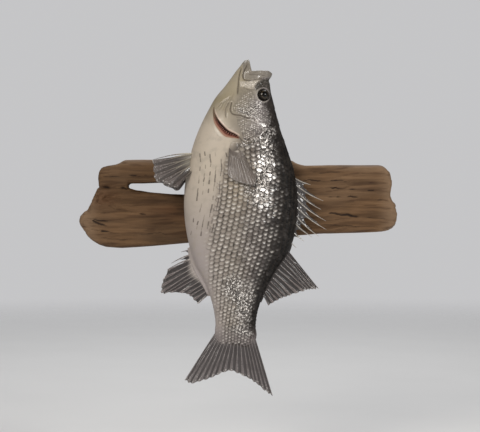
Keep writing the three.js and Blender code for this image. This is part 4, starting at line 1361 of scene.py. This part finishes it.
def spinyWeb(rods, middleAt, seed, high=0.84, low=0.50, perGap=14, rows=26, thick=0.42):
    # torn and crumpled membrane between spines; it reaches high on the spine in front, low behind
    parts, marks = [], {"ray": [], "out": [], "across": []}
    v = np.linspace(0, 1, perGap + 1)[:, None]
    out = np.linspace(0, 1, rows + 1)[None]
    for k in range(len(rods) - 1):
        (rootA, tipA), (rootB, tipB) = np.array(rods[k], float), np.array(rods[k + 1], float)
        root = rootA + (rootB - rootA) * v
        tip = tipA + (tipB - tipA) * v
        limit = high + (low - high) * v ** 0.75 - 0.24 * np.sin(v * math.pi) ** 0.8
        rag = noise(np.column_stack([v * 6, v * 0, v * 0 + k * 3.7]), 1.0, seed)
        reach = out * (limit * (1 + 0.10 * (rag - 0.5)[:, None]))
        at = root[:, None] + (tip - root)[:, None] * reach[..., None]
        field = np.stack([at[..., 0], at[..., 1], 0 * at[..., 0] + k * 9], -1).reshape(-1, 3)
        crumple = (noise(field, 4.2, seed) + 0.5 * noise(field, 1.9, seed + 1) - 0.75).reshape(reach.shape)
        sag = np.sin(v * math.pi) * smooth(0, 0.35, reach)
        y = middleAt(at[..., 0], at[..., 1], reach, (k + v) / (len(rods) - 1)) + sag * (0.5 + 2.2 * crumple)
        parts.append(sheetOf(at, y, thick * (1.4 - 0.7 * out) + 0 * reach))
        marks["ray"].append(np.zeros(2 * reach.size))
        marks["out"].append(np.tile(reach.ravel(), 2))
        marks["across"].append(np.tile(((k + v) / len(rods) + 0 * reach).ravel(), 2))
    return parts, {key: np.concatenate(v) for key, v in marks.items()}


def finPiece(name, *groups):
    # each group is a list of parts and their marks
    points, quads, tris = joined([part for group, _ in groups for part in group])
    marks = {key: np.concatenate([m[key] for _, m in groups]) for key in ("ray", "out", "across")}
    return meshObject(name, toRoom(points), quads, tris, marks)


def buildFins():
    made = {}
    upright = lambda u, z, out, share: sway(z) + 0 * out
    tail = lambda u, z, out, share: sway(z) - 2.2 * out ** 2 * np.sin(share * math.pi * 2 + 0.5)
    backFin = lambda u, z, out, share: sway(z) - 1.8 * out ** 2
    for name, sideAt in (("caudal_fin", tail), ("soft_dorsal_fin", backFin)):
        made[name] = finPiece(name + "_rays", finSheet(finPlans[name], sideAt, 5 + len(name)))

    rods = spines["spiny_dorsal_fin"]
    stagger = lambda u, z, out, share: sway(z) - 2.4 * out * np.sin(share * 19.0) * 0.5 - 1.2 * out ** 2
    made["spiny_dorsal_fin"] = finPiece(
        "spiny_dorsal_fin_spines", spineRods(rods, stagger, 0.95), spinyWeb(rods, stagger, 21),
    )
    rods = spines["anal_fin"]
    made["anal_fin"] = finPiece(
        "anal_fin_rays", finSheet(finPlans["anal_fin"], upright, 31), spineRods(rods, upright, 1.15),
        spinyWeb(rods, upright, 33, high=0.72, low=0.55),
    )

    def alongFlank(side, lift):
        def sideAt(u, z, out, share):
            off = np.interp(out, np.linspace(0, 1, len(lift)), lift)
            return sway(z) - side * (halfWidth(u, z) + off + 1.2 * out * (share - 0.5))
        return sideAt

    def underBelly(side, splay):
        def sideAt(u, z, out, share):
            return sway(z) - side * (4 + splay * out - 1.5 * np.sin(share * math.pi) * out)
        return sideAt

    for name, own in pairedFins.items():
        plan = finPlans[name]
        if "lift" in own:
            made[name] = finPiece(name + "_rays", finSheet(plan, alongFlank(own["side"], own["lift"]), 41))
            continue
        sideAt = underBelly(own["side"], own["splay"])
        front = lambda u, z, t, share: sideAt(u, z, np.clip(t, 0, 1), 0.0)
        spine = [(plan["roots"][0], plan["tips"][0])]
        made[name] = finPiece(name + "_rays", finSheet(plan, sideAt, 51), spineRods(spine, front, 0.95))
    return made


# near and far are the rays at the body and at the edge; flesh is the colour that the body lends a
# fin, its strength, and where along the rays it ends
finColors = {
    "caudal_fin": {
        "look": "tail_fin",
        "near": (0.27, 0.240, 0.235), "far": (0.150, 0.130, 0.130), "web": (0.042, 0.035, 0.035),
        "flesh": (0.25, 0.222, 0.215), "strength": 0.85, "fade": (0.03, 0.30),
    },
    "soft_dorsal_fin": {
        "look": "back_fin",
        "near": (0.19, 0.157, 0.148), "far": (0.17, 0.142, 0.136), "web": (0.020, 0.016, 0.0155),
        "flesh": (0.06, 0.053, 0.053), "strength": 0.6, "fade": (0.02, 0.2),
    },
    "spiny_dorsal_fin": {
        "look": "spiny_fin",
        "near": (0.24, 0.22, 0.20), "far": (0.40, 0.36, 0.31), "web": (0.035, 0.031, 0.031),
        "flesh": (0.04, 0.035, 0.035), "strength": 0.5, "fade": (0.0, 0.12), "gloss": 0.9,
    },
    "anal_fin": {
        "look": "anal_fin_look",
        "near": (0.32, 0.285, 0.265), "far": (0.16, 0.132, 0.130), "web": (0.024, 0.019, 0.019),
        "flesh": (0.50, 0.447, 0.41), "strength": 0.97, "fade": (0.12, 0.36),
    },
    "pelvic": {
        "look": "pelvic_fin_look",
        "near": (0.46, 0.415, 0.32), "far": (0.11, 0.089, 0.082), "web": (0.043, 0.034, 0.030),
        "flesh": (0.38, 0.35, 0.28), "strength": 0.55, "fade": (0.10, 0.5),
    },
    "pectoral": {
        "look": "pectoral_fin_look",
        "near": (0.19, 0.157, 0.135), "far": (0.160, 0.133, 0.115), "web": (0.115, 0.094, 0.080),
        "flesh": (0.26, 0.225, 0.18), "strength": 0.6, "fade": (0.02, 0.22), "paintedGlintStrength": 0.2,
    },
}


def finFinish(own):
    s = Shader(own["look"])
    ray, out = s.mark("ray"), s.mark("out")
    blotch = s.noise(5, 4) - 0.5
    grain = s.noise(0.9, 2) - 0.5
    rays = s.mix((out + blotch * 0.35).between(0.05, 0.75), own["near"], own["far"])
    webs = s.mix((blotch * 1.4 + 0.3).clamped(), own["web"], [c * 1.8 for c in own["web"]])
    color = s.mix((ray + grain * 0.35).between(0.30, 0.85), webs, rays)
    color = s.mix((1 - out.between(*own["fade"])) * own["strength"], color, own["flesh"])
    color = s.mix(out.between(0.93, 1.0) * 0.35, color, (0.30, 0.28, 0.27))     # the dry pale edge
    glint = s.noise(1.6, 1).between(0.57, 0.64)     # painted glints on the edge and on the rays
    glint = glint * (out.between(0.86, 1.0) * 0.8 + (ray - 0.6).clamped() * 0.9).clamped()
    color = s.mix(glint * own.get("paintedGlintStrength", 0.5), color, (0.80, 0.77, 0.74))
    return s.finish(
        Base_Color=color, Roughness=0.46 + grain * 0.25, Coat_Weight=own.get("gloss", 0.35),
        Coat_Roughness=0.12, Normal=s.bump(grain + blotch * 0.5, 0.25),
    )


woodPlan = {
    "voxel": 1.25, "wave": 1.1, "groove": 0.55, "split": 0.38,
    "rotAt": (-157, 6), "rotSize": (17, 10), "rotDepth": 4.6, "wornFrom": 158, "wornTo": 180,
    "redAt": (-80, -11), "redSize": (24, 9), "deepest": -5, "highest": 1.6,
    "top": ([-170, -60, 60, 176], [50, 50, 46, 42]),     # the upper edge, as x and z
}
# splits in the front face, as (x, z) lines, with their depth and half width
woodSplits = [
    ([(-156, 0), (-149, -5.8), (-135, -9.2), (-123, -11), (-106, -14)], 2.6, 0.95),
    ([(-150, 15), (-144, 11.3), (-147.5, 7.6), (-154, 4.6), (-156, -1)], 1.0, 1.0),
    ([(-184, -27), (-167.5, -31), (-146, -34)], 2.0, 0.85),
    ([(-178, -16), (-166, -22), (-152, -27.5)], 1.8, 0.85),
    ([(-171, -18), (-150, -22)], 1.2, 0.8), ([(-172, -9), (-154, -13)], 1.2, 0.8),
    ([(-168, 3), (-158, -2)], 1.4, 0.9),
    ([(-174, -36), (-138, -43), (-92, -39)], 0.8, 0.8), ([(-146, -38), (-107, -36.5), (-60, -36)], 0.8, 0.8),
    ([(-172, 20), (-152, 17), (-140, 16.8), (-126, 17.5)], 4.5, 1.2),
    ([(-163, 30), (-130, 31.5), (-96, 30)], 1.2, 0.6), ([(-100, -22), (-76, -24), (-48, -23)], 1.0, 0.6),
    ([(70, 25.6), (110, 25.2), (160, 23.6)], 1.5, 0.7), ([(74, 16.5), (112, 17), (176, 13.6)], 1.7, 0.7),
    ([(96, 6.4), (130, 6.8), (172, 4)], 1.4, 0.6),
    ([(84, -11), (110, -12.5), (146, -16.5), (176, -18.5)], 1.9, 0.8),
    ([(70, -26), (120, -26.5), (178, -27)], 0.9, 0.6), ([(60, 36), (120, 35.5), (172, 33)], 0.9, 0.6),
]


def spot(x, z, at, size):
    return bell(np.hypot((x - at[0]) / size[0], (z - at[1]) / size[1]), 1.0)


def buildWood():
    plan = woodPlan
    wood = bpy.data.objects.new("driftwood_board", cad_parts["driftwood"].data.copy())
    bpy.context.scene.collection.objects.link(wood)
    p = remeshed(wood, plan["voxel"])
    p = relax(wood, p, 6, 0.5, weight=1 - smooth(-0.8, -0.2, p[:, 1]))     # the back stays flat
    setPoints(wood, p)
    n = normalsOf(wood)
    x, y, z = p.T
    bendy = z + 2.2 * np.sin(x / 37) + 1.2 * np.sin(x / 15 + 1.3) + 3 * (noise(p, 46, 2) - 0.5)
    thread = np.column_stack([x, y * 0.8, bendy])     # places along the waving grain
    coarse = noise(thread / (52, 7, 5.2), 1.0, 4)
    troughs = smooth(0.55, 0.85, noise(thread / (30, 3, 2.1), 1.0, 5))
    checks = smooth(0.6, 0.82, noise(thread / (17, 1.6, 1.3), 1.0, 6))
    height = plan["wave"] * (noise(p / (60, 24, 20), 1.0, 7) - 0.5) * 2
    height += plan["groove"] * (coarse - 0.5) * 2 - plan["groove"] * troughs
    height -= plan["split"] * checks
    paintedSplitShade = np.zeros(len(p))
    facing = smooth(-0.2, 0.4, -n[:, 1])
    wobble = z + 2.8 * (noise(p, 9, 8) - 0.5) + 1.2 * (noise(p, 3.5, 18) - 0.5)
    broken = 0.4 + 0.6 * smooth(0.33, 0.6, noise(p, 11, 9))
    for line, depth, width in woodSplits:
        gone, place = lineDistance(curveThrough(line, 6), x, wobble)
        taper = np.sqrt(np.clip(4 * place * (1 - place), 0, 1)) * broken
        trough = bell(gone, width * (0.6 + 0.6 * taper)) * taper * facing
        height -= depth * trough
        # painted shade in the splits, darker the deeper they are
        paintedSplitShade = np.maximum(paintedSplitShade, trough * min(1, depth / 1.6))
    rot = spot(x, z, plan["rotAt"], plan["rotSize"]) * facing
    height -= rot * plan["rotDepth"] * smooth(0.42, 0.75, noise(thread / (7, 5, 3.2), 1.0, 10))
    endWear = smooth(plan["wornFrom"], plan["wornTo"], np.abs(x))
    height -= endWear * 1.2 * smooth(0.35, 0.8, noise(p, 8, 12)) + endWear * 0.5 * noise(p, 3.5, 13)
    free = 1 - smooth(-3.0, -0.6, y)
    setPoints(wood, p + n * (np.clip(height, plan["deepest"], plan["highest"]) * free)[:, None])
    curl = noise(thread / (42, 9, 7), 1.0, 14)
    setMarks(wood, {
        "paintedSplitShade": paintedSplitShade, "rot": rot, "curl": curl,
        "grainLow": smooth(0.6, 0.2, coarse) * 0.6 + troughs * 0.5 + checks * 0.5,
        # lighter where the ends are worn, and a painted highlight along the top edge
        "worn": np.clip(endWear + smooth(-9, -2, z - np.interp(x, *plan["top"])) * 0.8, 0, 1),
        "red": spot(x, z, plan["redAt"], plan["redSize"]) * curl,
    })
    shadeSmooth(wood)
    print("driftwood:", len(wood.data.polygons), "faces")
    return wood


woodColors = {
    "grain": [
        (0.26, (0.046, 0.023, 0.010)), (0.42, (0.096, 0.051, 0.023)), (0.55, (0.152, 0.084, 0.040)),
        (0.74, (0.25, 0.150, 0.078)),
    ],
    "blotch": (0.18, 0.118, 0.072), "worn": (0.29, 0.195, 0.122), "red": (0.19, 0.075, 0.034),
    "grainLow": (0.055, 0.027, 0.013), "rotThread": (0.10, 0.050, 0.024), "hair": (0.045, 0.023, 0.012),
    "rot": (0.135, 0.062, 0.030), "paintedSplitShade": (0.014, 0.007, 0.004),
}


def woodFinish():
    s, own = Shader("weathered_driftwood"), woodColors
    paintedSplitShade, rot, low, worn, red, curl = [
        s.mark(k) for k in ("paintedSplitShade", "rot", "grainLow", "worn", "red", "curl")
    ]
    thread = s.noise(7, 5, 0.6, (0.055, 0.6, 1.0))
    hair = s.noise(2.2, 4, 0.65, (0.05, 0.8, 1.0))
    blotch = s.noise(34, 3, 0.5, (0.4, 1, 1))
    color = s.ramp((thread * 0.65 + hair * 0.35 + curl * 0.16 - 0.08).clamped(), own["grain"])
    color = s.mix(blotch.between(0.35, 0.75) * 0.35, color, own["blotch"])
    # worn ends, and the painted highlight along the top edge
    color = s.mix(worn * 0.5, color, own["worn"])
    color = s.mix(red * 0.5, color, own["red"])
    color = s.mix(low.between(0.25, 1.1) * 0.62, color, own["grainLow"])
    color = s.mix(rot * hair.between(0.35, 0.6) * 0.6, color, own["rotThread"])
    color = s.mix(hair.between(0.56, 0.70) * 0.35, color, own["hair"])
    color = s.mix(rot * 0.4, color, own["rot"])
    # painted shade in the splits
    color = s.mix(paintedSplitShade.between(0.10, 0.65) * 0.92, color, own["paintedSplitShade"])
    return s.finish(
        Base_Color=color, Roughness=0.66 + hair * 0.2 - worn * 0.08, Coat_Weight=0.0,
        Specular_IOR_Level=0.25, Normal=s.bump(thread * 0.8 + hair * 0.9, 0.7),
    )


studio = {
    "floorDrop": 0.32, "floorSize": 6.0, "fadeFrom": 1.1, "fadeTo": 3.4,
    "floor": ((0.72, 0.715, 0.705), (0.76, 0.755, 0.745)),
    "lens": 95.55, "sensor": 36, "cameraAt": (0.0012, -1.5, -0.0153),
    "surround": (0.085, 0.085, 0.088, 1), "backdrop": (0.56, 0.56, 0.57, 1),
}
# place and aim in metres, width and height, power, colour
lamps = {
    "key": ((-0.62, -1.45, 0.70), (0, -0.05, 0), 0.55, 0.55, 13.5, (1.0, 0.955, 0.89)),
    "spark": ((1.00, -1.10, 0.42), (0, -0.05, 0), 0.26, 0.40, 8.0, (1.0, 0.98, 0.95)),
    "rim": ((1.3, -0.35, 0.1), (0, -0.05, 0), 0.15, 0.9, 1.0, (1.0, 0.98, 0.95)),
    "roof": ((0.0, 1.1, 1.9), (0.0, 1.101, 0), 2.2, 2.2, 42, (0.97, 0.98, 1.0)),
}


def aim(piece, at, target):
    piece.location = at
    x, y, z = np.array(target, float) - np.array(at, float)
    piece.rotation_euler = (math.atan2(math.hypot(x, y), -z), 0, math.atan2(x, -y) + math.pi)


def setFloor():
    size, drop, sides = studio["floorSize"], studio["floorDrop"], 64
    turn = np.linspace(0, 2 * math.pi, sides, endpoint=False)
    disc = np.column_stack([np.cos(turn) * size, np.sin(turn) * size, np.full(sides, -drop)]) / mm
    points = np.vstack([disc, [[0, 0, -drop / mm]]])
    k = np.arange(sides)
    floor = meshObject("floor", points, tris=np.stack([k, (k + 1) % sides, np.full(sides, sides)], axis=1))
    s = Shader("pale_floor")
    cloud = s.noise(160, 3)
    gone = s.node("ShaderNodeVectorMath", {"operation": "LENGTH"}, {0: s.place()}, output="Value")
    floor.data.materials.append(s.finish(
        Base_Color=s.mix(cloud, *studio["floor"]), Roughness=0.8 + cloud * 0.1,
        Alpha=1 - gone.between(studio["fadeFrom"], studio["fadeTo"]),
    ))


def setStudio():
    setFloor()
    world = bpy.data.worlds.new("studio")
    world.use_nodes = True
    nodes, links = world.node_tree.nodes, world.node_tree.links
    glow = nodes["Background"]
    glow.inputs["Color"].default_value = studio["surround"]
    seen = nodes.new("ShaderNodeBackground")
    seen.inputs["Color"].default_value = studio["backdrop"]
    pick, path = nodes.new("ShaderNodeMixShader"), nodes.new("ShaderNodeLightPath")
    links.new(path.outputs["Is Camera Ray"], pick.inputs[0])
    links.new(glow.outputs[0], pick.inputs[1])
    links.new(seen.outputs[0], pick.inputs[2])
    links.new(pick.outputs[0], nodes["World Output"].inputs["Surface"])
    bpy.context.scene.world = world

    for name, (at, target, width, tall, power, color) in lamps.items():
        data = bpy.data.lights.new(name, "AREA")
        data.shape = "RECTANGLE"
        data.size, data.size_y = width, tall
        data.energy = power
        data.color = color
        light = bpy.data.objects.new(name, data)
        bpy.context.scene.collection.objects.link(light)
        aim(light, at, target)

    camera = bpy.data.objects.new("camera", bpy.data.cameras.new("camera"))
    camera.data.lens = studio["lens"]
    camera.data.sensor_width = studio["sensor"]
    camera.data.sensor_fit = "HORIZONTAL"
    camera.location = studio["cameraAt"]
    camera.rotation_euler = (math.pi / 2, 0, 0)
    bpy.context.scene.collection.objects.link(camera)
    bpy.context.scene.camera = camera
    bpy.context.scene.view_settings.view_transform = "Standard"


def settle(piece, material, slot, *nodes):
    piece.data.materials.clear()
    piece.data.materials.append(material)
    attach(piece, "root")
    if nodes:
        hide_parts(*nodes)
    return piece


random = np.random.default_rng(20)
setStudio()
print("studio set")

skinLook, coatLook = fishFinish("fish_skin", False), fishFinish("fish_scales", True)
skin = buildSkin()
skinTree = BVHTree.FromObject(skin, bpy.context.evaluated_depsgraph_get())
settle(
    skin, skinLook, "flesh",
    "head", "upper_jaw", "lower_jaw", "throat", "trunk", "tail_stalk", "gill_cover_left", "gill_cover_right",
)
eyeLook, gillLook = eyeFinish(), gillFinish()
for word, side in (("left", 1), ("right", -1)):
    for piece in buildScales(side, word, skinTree):
        settle(piece, coatLook, "flesh")
    settle(buildEye(side, word), eyeLook, "eyes", "eye_" + word)
    settle(buildGills(side, word), gillLook, "gills", "gills_" + word)
print("head and scales made")

finLooks = {name: finFinish(own) for name, own in finColors.items()}
for node, piece in buildFins().items():
    look = finLooks[node] if node in finLooks else finLooks[node.split("_")[0]]
    settle(piece, look, "fins", node)
print("fins made")

settle(buildWood(), woodFinish(), "driftwood", "driftwood")
